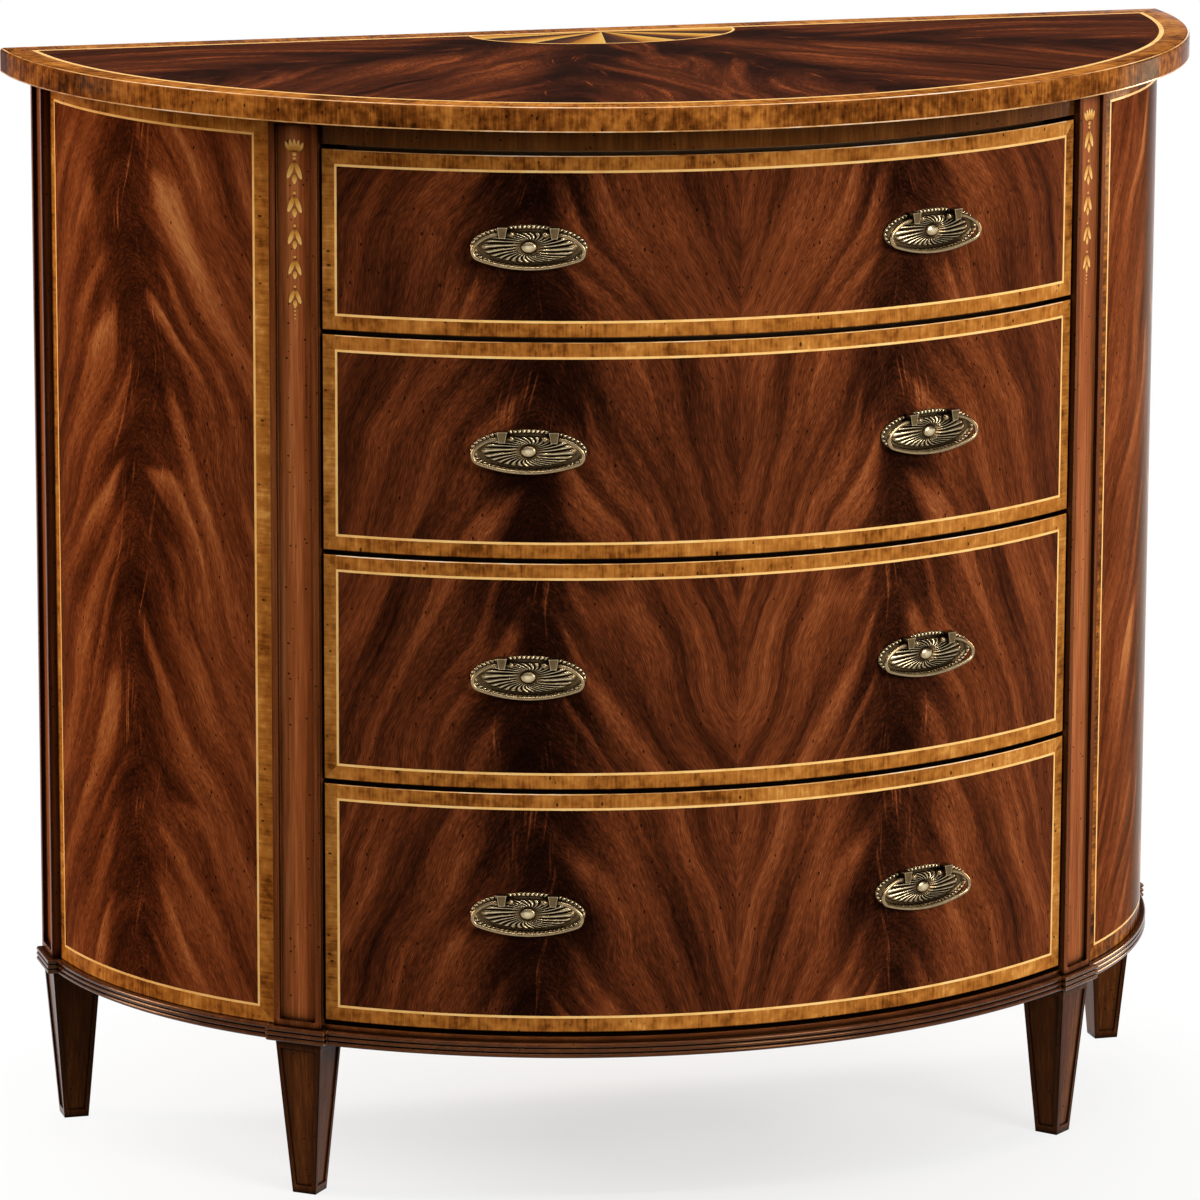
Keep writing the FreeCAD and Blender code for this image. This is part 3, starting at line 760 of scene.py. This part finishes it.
def drawer_face():
    """Place on the bowed front, its ends parallel to the posts, and half its length along the curve."""
    offset = half_post + front_end_gap

    def end_turn(rise):
        return post_turn - math.asin(offset / (case_plan.front_radius + rise))

    def place(along, level, rise):
        turn = along / case_plan.front_radius * end_turn(rise) / end_turn(0)
        return case_plan.front_point(turn, rise, level)

    return place, end_turn(0) * case_plan.front_radius


def side_face():
    """Place on the right end of the case between the two posts, and its length along the curve."""
    post_axis = case_plan.front_point(post_turn, post_inset)
    gap = Vector((case_plan.end_centre, 0, 0)) - post_axis
    beside_post = half_post - gap.dot(Vector((math.cos(post_turn), math.sin(post_turn), 0)))
    rear_line = back_overhang + post_width

    def ends(rise):
        radius = case_plan.end_radius + rise
        return post_turn + math.asin(beside_post / radius), math.acos(rear_line / radius)

    start, stop = ends(0)
    length = (stop - start) * case_plan.end_radius

    def place(along, level, rise):
        first, last = ends(rise)
        return case_plan.end_point(blend(first, last, along / length), rise, level)

    return place, length


def drawer_figure(along, level):
    """Two leaves turned over at the middle; the spine of the right one lies a little nearer to the joint."""
    if along < 0:
        return -along - left_spine, level
    aside = along - right_spine
    return (aside if aside > 0 else aside * left_spine / right_spine), level


def make_drawer_fronts():
    place, half = drawer_face()
    for number in range(1, 5):
        node = "drawer_%d_front" % number
        skin = framed_panel(
            place, (-half, half), heights(node), drawer_bands, crossband,
            # left leaves in painted shade, right leaves in painted light
            [0.0], (left_flame_in_painted_shade, right_flame_in_painted_light), drawer_figure, front_thickness,
        )
        mesh = skin.mesh(node + "_veneered")
        piece("veneered_front_%d" % number, mesh, "drawer_%d" % number, [node])


def make_side_panels():
    right_place, length = side_face()
    front, rear, bottom, top = side_bands

    def left_place(along, level, rise):
        return mirrored(right_place(length - along, level, rise))

    def right_figure(along, level):
        return along - side_spine, level + right_side_leaf

    def left_figure(along, level):
        return length - along - side_spine, level + left_side_leaf

    hands = (
        # The right end is banded in the darker crossband, painted shade
        ("right", right_place, (front, rear, bottom, top), edge_crossband_in_painted_shade, right_figure),
        ("left", left_place, (rear, front, bottom, top), crossband, left_figure),
    )
    for hand, place, bands, band, figure in hands:
        node = "side_panel_" + hand
        skin = framed_panel(
            place, (0.0, length), heights(node), bands, band, [], (side_flame,), figure, side_panel_thickness
        )
        piece("veneered_side_" + hand, skin.mesh(node + "_veneered"), "case", [node])


def fan_ray_edges():
    """Headings of the edges between the leaves of the fan, in degrees from the front."""
    ray_turns = [math.pi * (ray / fan_rays - 0.5) for ray in range(fan_rays + 1)]
    return [
        round(math.degrees(math.atan2(fan_half_width * math.sin(turn), fan_depth * math.cos(turn))), 6)
        for turn in ray_turns
    ]


def top_rim(low, high):
    """Rings from the stringing over the rounded edge to the underside, and the finish of each strip."""
    rings = [(-top_string_line, high), (-top_band, high)]
    for degrees in (0, 22.5, 45, 67.5, 90):
        turn = math.radians(degrees)
        drop = top_edge_round * (1 - math.cos(turn))
        rings.append((top_edge_round * (math.sin(turn) - 1), high - drop))
    rings += [(0.0, low + top_edge_highlight), (0.0, low)]
    # Painted highlight on the second strip of the rounded arris and on the strip along the lower edge; the
    # other edge strips are the darker crossband, painted shade
    finishes = [boxwood, top_crossband, edge_crossband_in_painted_shade, painted_highlight]
    finishes += [edge_crossband_in_painted_shade] * (len(rings) - 2 - len(finishes)) + [painted_highlight]
    return rings, finishes


def top_columns(angles, rings, high):
    """For every heading, points from the hub to the edge of the leaves, and points down the rim."""

    def spot(heading, distance, level=high):
        return Vector((math.sin(heading) * distance, top_hub.y - math.cos(heading) * distance, level))

    def oval(heading, half_width, depth):
        return 1 / math.sqrt((math.sin(heading) / half_width) ** 2 + (math.cos(heading) / depth) ** 2)

    columns = []
    for degrees in angles:
        heading = math.radians(degrees)
        fan_edge = oval(heading, fan_half_width - fan_string, fan_depth - fan_string)
        fan_line = oval(heading, fan_half_width, fan_depth)
        inner = top_plan.reach(top_hub, heading, -top_string_line)
        field = [blend(fan_line, inner, part / top_rings) for part in range(1, top_rings)]
        rim = [spot(heading, top_plan.reach(top_hub, heading, offset), level) for offset, level in rings]
        columns.append(([spot(heading, at) for at in (0.0, fan_edge, fan_line, *field)], rim))
    return columns


def leaf_grain(point, number):
    """Grain of a leaf: distance from its middle line and along it, turned over leaf by leaf."""
    middle = math.radians((top_leaf_edges[number] + top_leaf_edges[number + 1]) / 2)
    flat = Vector((point.x, point.y)) - top_hub
    along = flat.x * math.sin(middle) - flat.y * math.cos(middle)
    aside = flat.x * math.cos(middle) + flat.y * math.sin(middle)
    return aside if number % 2 else -aside, top_leaf - along


def quads(near, far):
    """Corners of the faces between two rows of points."""
    return [[near[at], near[at + 1], far[at + 1], far[at]] for at in range(len(near) - 1)]


def lay_fan_and_leaves(skin, angles, columns):
    """Fan leaves, light and dark in turn, the line round them and the four flame leaves."""
    ray_edges = fan_ray_edges()
    for at in range(len(columns) - 1):
        (inner_a, rim_a), (inner_b, rim_b) = columns[at], columns[at + 1]
        middle = (angles[at] + angles[at + 1]) / 2
        ray = max(ray for ray in range(fan_rays) if ray_edges[ray] <= middle)
        finish = fan_dark if ray % 2 else fan_pale
        first, last = ray_edges[ray], ray_edges[ray + 1]
        aside_a, aside_b = [(angle - first) / (last - first) for angle in angles[at:at + 2]]
        grain = [((aside_a + aside_b) / 2, 0.0), (aside_a, fan_depth), (aside_b, fan_depth)]
        skin.face([inner_a[0], inner_a[1], inner_b[1]], finish, grain)
        skin.face([inner_a[1], inner_a[2], inner_b[2], inner_b[1]], boxwood)
        number = max(leaf for leaf in range(len(top_leaf_edges) - 1) if top_leaf_edges[leaf] <= middle)
        for points in quads(inner_a[2:] + rim_a[:1], inner_b[2:] + rim_b[:1]):
            skin.face(points, top_flame, [leaf_grain(point, number) for point in points])


def lay_top_rim(skin, columns, finishes):
    """Stringing, crossband and edge strips along the curve; gives back the length of the edge."""
    run = 0.0
    for (_, rim_a), (_, rim_b) in zip(columns, columns[1:]):
        step = (rim_b[-1] - rim_a[-1]).length
        deep = 0.0
        for points, finish in zip(quads(rim_a, rim_b), finishes):
            width = (points[1] - points[0]).length
            grain = [(run, deep), (run, deep + width), (run + step, deep + width), (run + step, deep)]
            skin.face(points, finish, grain)
            deep += width
        run += step
    return run


def lay_top_back(skin, columns, rings, finishes, run, high):
    """Back strip with mitred ends, the back edge and the underside."""
    ends = []
    for side, (_, rim) in ((-1, columns[0]), (1, columns[-1])):
        half = top_plan.half
        corner = [rim[0], Vector((side * (half - top_band), -top_band, high))]
        corner += [Vector((side * (half + offset), 0.0, level)) for offset, level in rings[2:]]
        ends.append(corner)
        for ring, finish in enumerate(finishes):
            points = [rim[ring], corner[ring], corner[ring + 1], rim[ring + 1]]
            if side > 0:
                points.reverse()
            grain = [(run + (point - rim[ring]).length, -point.x * side) for point in points]
            skin.face(points, finish, grain)
    left_end, right_end = ends
    between = columns[0][0][:0:-1] + columns[-1][0]
    front_row = [left_end[0], *between, right_end[0]]
    line_row = [left_end[1], *(Vector((point.x, -top_band, high)) for point in between), right_end[1]]
    back_row = [left_end[2], *(Vector((point.x, 0.0, high)) for point in between), right_end[2]]
    for near, far, finish in ((front_row, line_row, boxwood), (line_row, back_row, top_crossband)):
        for points in quads(near, far):
            skin.face(points, finish, [(point.x, point.y) for point in points])
    skin.face(left_end[:1:-1] + back_row[1:-1] + right_end[2:], rail_wood)
    skin.face([left_end[-1], right_end[-1]] + [rim[-1] for _, rim in reversed(columns)], carcase_along)


def make_top():
    """Top board: crossbanded rim, stringing, four flame leaves that meet at the back, a half-round fan."""
    low, high = heights("top_board")
    steps = round(180 / top_facet_degrees)
    angles = {-90 + top_facet_degrees * step for step in range(steps + 1)}
    angles = sorted(angles | set(top_leaf_edges) | set(fan_ray_edges()))
    rings, finishes = top_rim(low, high)
    columns = top_columns(angles, rings, high)
    skin = Skin()
    lay_fan_and_leaves(skin, angles, columns)
    run = lay_top_rim(skin, columns, finishes)
    lay_top_back(skin, columns, rings, finishes, run, high)
    piece("veneered_top", skin.mesh("top_board_veneered"), "case", ["top_board"])


# Husks

def leaf_shape(skin, place, root, tip, width, fullness, bow=0.0):
    """Closed petal from root to tip, ridged along its middle, let into the wood; bow curves it sideways."""
    way = tip - root
    aside = Vector((-way.y, way.x)).normalized()
    sections = []
    for step in range(petal_steps + 1):
        share = step / petal_steps
        swell = math.sin(math.pi * share) if 0 < share < 1 else 0.0
        edge = aside * width / 2 * swell ** fullness
        centre = root + way * share + aside * bow * swell
        sections.append([
            place(centre + edge, -husk_rise),
            place(centre - edge, -husk_rise),
            place(centre - edge, husk_rise),
            place(centre, husk_rise * (1 + swell)),
            place(centre + edge, husk_rise),
        ])
    for at in range(petal_steps):
        here, there = sections[at], sections[at + 1]
        near, far = at / petal_steps, (at + 1) / petal_steps
        for side in range(len(here)):
            points = [here[side - 1], there[side - 1], there[side], here[side]]
            skin.face(points, petal_wood, [(0.5, near), (0.5, far), (0.5, far), (0.5, near)])


def make_husks():
    """A crown, a string of bellflowers that grow smaller, and closing beads on each front post."""
    axis = case_plan.front_point(post_turn, post_inset)
    turn = Matrix.Rotation(post_turn, 3, "Z")

    def right_place(flat, rise):
        return axis + turn @ Vector((flat.x, post_sink - half_post - rise, flat.y))

    def left_place(flat, rise):
        return mirrored(right_place(flat, rise))

    for hand, place in (("right", right_place), ("left", left_place)):
        skin = Skin()

        def bead(spot, size):
            half = Vector((0, size / 2))
            leaf_shape(skin, place, spot + half, spot - half, size, slim_petal)

        base = Vector((0.0, husk_crown))
        for lean in (-1.0, -0.5, 0.0, 0.5, 1.0):
            root = base + Vector((husk_crown_root * lean, 0.0))
            tip = base + Vector((husk_crown_spread * lean, husk_crown_petal - husk_crown_droop * lean ** 2))
            leaf_shape(skin, place, root, tip, husk_crown_petal_width, crown_petal, -husk_crown_bow * lean)
        bead(base - Vector((0.0, husk_crown_bead_drop)), husk_crown_bead)
        top = husk_first_top
        size = 1.0
        for _ in range(husk_flowers):
            head = Vector((0.0, top))
            length = husk_length * size
            bead(head + Vector((0.0, husk_bead_rise * size)), husk_bead * size)
            for side in (-1, 1):
                root = head + Vector((side * husk_root_gap * size, 0.0))
                tip = head + Vector((side * husk_width / 2 * size, -husk_side_length * length))
                leaf_shape(skin, place, root, tip, husk_side_petal * size, slim_petal)
            root = head - Vector((0.0, husk_middle_start * length))
            tip = head - Vector((0.0, length))
            leaf_shape(skin, place, root, tip, husk_middle_petal * size, full_petal)
            top -= husk_pitch * size
            size *= husk_shrink
        for number in range(husk_end_beads):
            spot = Vector((0.0, top + husk_end_rise - husk_bead_pitch * number))
            bead(spot, husk_end_bead - husk_end_shrink * number)
        if hand == "left":
            skin.turn_over()
        piece("husk_inlay_" + hand, skin.mesh("husk_inlay_" + hand, petal_sharp_angle), "case")


# Handles

def on_front(across, level, rise):
    """Point above the middle of the bowed front, across measured straight."""
    radius = case_plan.front_radius + rise
    return Vector((across, case_plan.front_centre - math.sqrt(radius ** 2 - across ** 2), level))


def even_turns(half_width, half_height, count):
    """Turns round an oval that are equally far apart along its edge."""
    fine = 4000
    turns = [2 * math.pi * step / fine for step in range(fine + 1)]
    runs = [0.0]
    for here, there in zip(turns, turns[1:]):
        middle = (here + there) / 2
        speed = math.hypot(half_width * math.sin(middle), half_height * math.cos(middle))
        runs.append(runs[-1] + speed * (there - here))
    even = []
    at = 0
    for step in range(count):
        goal = runs[-1] * step / count
        while runs[at + 1] < goal:
            at += 1
        even.append(blend(turns[at], turns[at + 1], (goal - runs[at]) / (runs[at + 1] - runs[at])))
    return even, runs[-1] / count


def handle_plate_mesh():
    """Oval stamped plate: beaded rim, hollow, rosette of swept ribs and a button in the middle."""
    half_width, half_height = plate_width / 2, plate_height / 2
    rose_wide, rose_tall = rosette_width / 2, rosette_height / 2
    button_wide, button_tall = boss_width / 2, boss_height / 2
    bead_radius = rim_width / 2
    count = bead_count * bead_facets
    turns, pitch = even_turns(half_width - bead_radius, half_height - bead_radius, count)

    def ring(wide, tall, base, height=0.0, reliefs=None, sweep=0.0):
        """Points round an oval and the share of relief at each, which lifts it from base by up to height."""
        corners = []
        for turn, relief in zip(turns, reliefs or [0.0] * count):
            at = turn - sweep
            point = on_front(wide * math.cos(at), tall * math.sin(at), base + height * relief)
            corners.append((point, relief))
        return corners

    def bead(step, inset):
        along = (step / bead_facets + 0.5) % 1 - 0.5
        off = math.hypot(along * pitch * bead_facets, inset - bead_radius) / bead_radius
        return math.sqrt(max(0.0, 1 - off ** 2))

    def rib(step, share):
        fade = max(0.0, min(1.0, rib_end + rib_rise_rate * share, rib_fall_rate * (1 - share)))
        return abs(math.cos(math.pi * rib_count * step / count)) * fade

    rings = [ring(half_width * share, half_height * share, 0.0) for share in plate_back_rings]
    for number in range(bead_rings + 1):
        inset = rim_width * number / bead_rings
        beads = [bead(step, inset) for step in range(count)]
        rings.append(ring(half_width - inset, half_height - inset, plate_thickness, bead_height, beads))
    for share in plate_hollow_rings:
        wide = blend(half_width - rim_width, rose_wide, share)
        tall = blend(half_height - rim_width, rose_tall, share)
        rings.append(ring(wide, tall, plate_hollow))
    for number in range(rosette_rings + 1):
        share = number / rosette_rings
        wide = blend(rose_wide, button_wide + button_gap, share)
        tall = blend(rose_tall, button_tall + button_gap, share)
        dome = plate_hollow + rosette_step + rosette_rise * math.sin(math.pi / 2 * share)
        ribs = [rib(step, share) for step in range(count)]
        rings.append(ring(wide, tall, dome, rib_height, ribs, rib_sweep * share))
    for number in range(boss_rings + 1):
        share = 1 - number / boss_rings
        swell = [math.sqrt(1 - share ** 2)] * count
        base = plate_hollow + rosette_rise
        rings.append(ring(button_wide * share, button_tall * share, base, button_rise, swell, rib_sweep))
    skin = Skin()
    for here, there in zip(rings, rings[1:]):
        for at in range(count):
            corners = (here[at - 1], here[at], there[at], there[at - 1])
            skin.face([point for point, _ in corners], brass, [(relief, 0.0) for _, relief in corners])
    return skin.mesh("handle_plate", metal_sharp_angle)


def bail_mesh():
    """Round wire: a ball on each pin, shoulders, tight ends, a long lower curve; slimmer in the lugs."""
    shoulder_z = bail_pivot_rise - bail_shoulder_radius
    end_x = bail_width / 2 - bail_end_radius
    apart = bail_shoulder_radius - bail_end_radius
    shoulder_turn = math.asin((end_x - bail_pin_end) / apart)
    end_z = shoulder_z + apart * math.cos(shoulder_turn)
    depth = bail_drop + end_z
    lower_radius = (end_x ** 2 + depth ** 2 - bail_end_radius ** 2) / (2 * (depth - bail_end_radius))
    lower_z = lower_radius - bail_drop
    end_turn = math.atan2(end_x, end_z - lower_z)
    wire = bail_wire / 2
    ball = bail_ball / 2
    pin_start = bail_ball_spacing / 2
    neck = math.pi - math.asin(wire / ball)
    path = []
    for step in range(1, bail_ball_steps + 1):
        turn = neck * step / bail_ball_steps
        path.append((pin_start - ball * math.cos(turn), bail_pivot_rise, ball * math.sin(turn), 0.0))
    arcs = (
        (bail_pin_end, shoulder_z, bail_shoulder_radius, 0.0, shoulder_turn),
        (end_x, end_z, bail_end_radius, shoulder_turn, end_turn),
        (0.0, lower_z, lower_radius, end_turn, math.pi),
    )
    for (centre_x, centre_z, radius, first, last), steps in zip(arcs, bail_arc_steps):
        for step in range(steps + 1):
            turn = blend(first, last, step / steps)
            path.append((centre_x + radius * math.sin(turn), centre_z + radius * math.cos(turn), wire, turn))
    path += [(-x, z, radius, 2 * math.pi - turn) for x, z, radius, turn in reversed(path[:-1])]
    front = -case_depth - bail_stand_off
    rings = []
    for x, z, radius, turn in path:
        outward = Vector((math.sin(turn), 0, math.cos(turn)))
        middle = Vector((x, front, z))
        if z > 0 and abs(x) < pin_reach:
            radius -= pin_slack
        ring = []
        for side in range(bail_sides):
            angle = 2 * math.pi * side / bail_sides
            ring.append(middle + (outward * math.cos(angle) + Vector((0, math.sin(angle), 0))) * radius)
        rings.append(ring)
    skin = Skin()
    for here, there in zip(rings, rings[1:]):
        for at in range(bail_sides):
            skin.face([here[at], here[at - 1], there[at - 1], there[at]], wire_brass)
    skin.face(rings[0], wire_brass)
    skin.face(rings[-1][::-1], wire_brass)
    return skin.mesh("bail", metal_sharp_angle)


def make_handles():
    plate = handle_plate_mesh()
    bail = bail_mesh()
    angle = handle_arc / case_plan.front_radius
    axis = Matrix.Translation((0, (case_plan.front_centre + top_depth / 2) * mm, 0))
    for number in range(1, 5):
        drawer = "drawer_%d" % number
        low, high = heights(drawer + "_front")
        for hand, side in (("left", -1), ("right", 1)):
            lift = Matrix.Translation((0, 0, (low + high) / 2 * mm))
            place = axis @ Matrix.Rotation(side * angle, 4, "Z") @ axis.inverted() @ lift
            name = "%s_%d" % (hand, number)
            piece("handle_plate_" + name, plate, drawer, [drawer + "_handle_plates"], place)
            ring = "%s_bail_%s" % (drawer, hand)
            piece("bail_" + name, bail, ring, [ring], place)


# Solids that keep their shape

def dress(names, finish, ease=0.0):
    """Gives solids their finish and eases their sharp edges."""
    for name in names:
        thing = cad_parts[name]
        thing.data.materials.clear()
        thing.data.materials.append(finish)
        if ease:
            thing.modifiers.new("joined_corners", "WELD").merge_threshold = weld_gap * mm
            edge = thing.modifiers.new("eased_edges", "BEVEL")
            edge.width = ease * mm
            edge.segments = ease_segments
            edge.limit_method = "ANGLE"
            edge.angle_limit = math.radians(ease_angle)
            edge.use_clamp_overlap = False


def dress_solids():
    hands = ("left", "right")
    drawers = ["drawer_%d_" % number for number in range(1, 5)]
    dress(["%s_post_%s" % (end, hand) for end in ("front", "rear") for hand in hands], post_wood, post_ease)
    dress(["%s_leg_%s" % (end, hand) for end in ("front", "rear") for hand in hands], leg_wood, board_ease)
    dress(["base_blocks", "base_moulding_front", "base_moulding_left", "base_moulding_right"], reed_wood)
    dress(["bottom_rail"], rail_wood, rail_ease)
    dress(["frieze_rail"], frieze_wood, rail_ease)
    dress(["back_panel", "bottom_board", "divider_1", "divider_2", "divider_3"], carcase_along, board_ease)
    dress(["top_rail", "base_rail_back"], carcase_along, board_ease)
    dress(["partition_left", "partition_right"], carcase_upright, board_ease)
    dress(["kickers"], carcase_deep, board_ease)
    dress([drawer + part for drawer in drawers for part in ("back", "bottom")], lining_along, board_ease)
    dress([drawer + "sides" for drawer in drawers], lining_deep, board_ease)
    dress([drawer + "handle_posts" for drawer in drawers], plain_brass)


# Stage, light and camera

image_pixels = 1200.0
focal_pixels = 6895.4
sensor_width = 36.0
camera_place = Vector((-1.59786, -5.36574, 1.68837))
camera_yaw = 0.2793
camera_pitch = 0.2150
camera_roll = 0.0038
view_reach = 300.0
floor_width = 160.0


def make_camera():
    data = bpy.data.cameras.new("studio_camera")
    data.sensor_width = sensor_width
    data.lens = focal_pixels / image_pixels * sensor_width
    data.clip_end = view_reach
    camera = put("studio_camera", data)
    aim = Matrix.Rotation(-camera_yaw, 4, "Z") @ Matrix.Rotation(math.pi / 2 - camera_pitch, 4, "X")
    camera.matrix_world = Matrix.Translation(camera_place) @ aim @ Matrix.Rotation(camera_roll, 4, "Z")
    bpy.context.scene.camera = camera


def make_lamp(name, place, aim, size, power, code="#ffffff"):
    data = bpy.data.lights.new(name, "AREA")
    data.color = linear(code)[:3]
    data.shape = "RECTANGLE"
    data.size, data.size_y = size
    data.energy = power
    lamp = put(name, data)
    lamp.location = place
    lamp.rotation_euler = (Vector(aim) - Vector(place)).to_track_quat("-Z", "Y").to_euler()


def seen_rays(finish):
    """One for what the picture shows, straight or in the polish; nothing for light falling on pieces."""
    rays = finish.add("LightPath")
    mirror = finish.add("Math", [rays.outputs["Is Glossy Ray"], rays.outputs["Is Transmission Ray"]], "ADD")
    return finish.add("Math", [rays.outputs["Is Camera Ray"], mirror], "ADD")


def make_floor():
    """Matt white floor; the lift towards white keeps the shadow and shows in the polish too."""
    half = floor_width / 2
    mesh = bpy.data.meshes.new("studio_floor")
    corners = [(-half, -half, 0), (half, -half, 0), (half, half, 0), (-half, half, 0)]
    mesh.from_pydata(corners, [], [(0, 1, 2, 3)])
    put("studio_floor", mesh)
    finish = Finish(bpy.data.materials.new("white_paper_floor"))
    add = finish.add
    matt = add("BsdfDiffuse", {"Color": linear("#d4d4d4")})
    glow = add("Emission", {"Color": (1, 1, 1, 1), "Strength": seen_rays(finish)})
    place = add("TexCoord")
    distance = add("VectorMath", [place.outputs["Object"]], "LENGTH")
    lift = add("MapRange", [distance.outputs["Value"], 0.08, 0.65, 0.62, 1.0])
    lifted = add("MixShader", {"Fac": lift, 1: matt, 2: glow})
    add("OutputMaterial", {"Surface": lifted})
    mesh.materials.append(finish.owner)


def make_world():
    """A studio room: white along the floor line, dim round the walls, brighter overhead and in front."""
    world = bpy.data.worlds.new("studio")
    bpy.context.scene.world = world
    room = Finish(world)
    add = room.add
    way = add("TexCoord")
    parts = add("SeparateXYZ", [way.outputs["Generated"]])
    overhead = add("MapRange", [parts.outputs[2], 0.35, 0.85, 0.02, 0.55], **smooth)
    ahead = add("MapRange", [parts.outputs[1], 0.1, -0.7, 0.0, 0.24], **smooth)
    lamps = add("Math", [overhead, ahead], "ADD")
    skyline = add("MapRange", [parts.outputs[2], 0.06, 0.12, 1.0, 0.0], **smooth)
    wall = add("Math", [seen_rays(room), skyline], "MULTIPLY")
    strength = add("Math", [lamps, wall], "MAXIMUM")
    sky = add("Background", {"Color": (1, 1, 1, 1), "Strength": strength})
    add("OutputWorld", {"Surface": sky})


def light_stage():
    make_floor()
    make_world()
    make_lamp("key_softbox", (2.2, -4.1, 2.0), (0, 0, 0.5), (2.0, 2.0), 190)
    make_lamp("left_softbox", (-4.1, 1.6, 1.6), (0, 0, 0.45), (1.4, 2.4), 165, "#ffe4c6")
    make_lamp("right_softbox", (4.2, 1.5, 0.9), (0.2, 0, 0.40), (1.2, 1.6), 110, "#ffdcb4")
    make_lamp("back_softbox", (0.3, 1.9, 3.4), (0, -0.2, 0.4), (2.0, 1.2), 55)
    make_lamp("strip_light", (-0.2, -1.5, 3.3), (0, -0.2, 0.9), (3.2, 0.1), 34)
    bpy.context.scene.view_settings.view_transform = "Standard"


make_drawer_fronts()
make_side_panels()
make_top()
make_husks()
make_handles()
dress_solids()
make_camera()
light_stage()
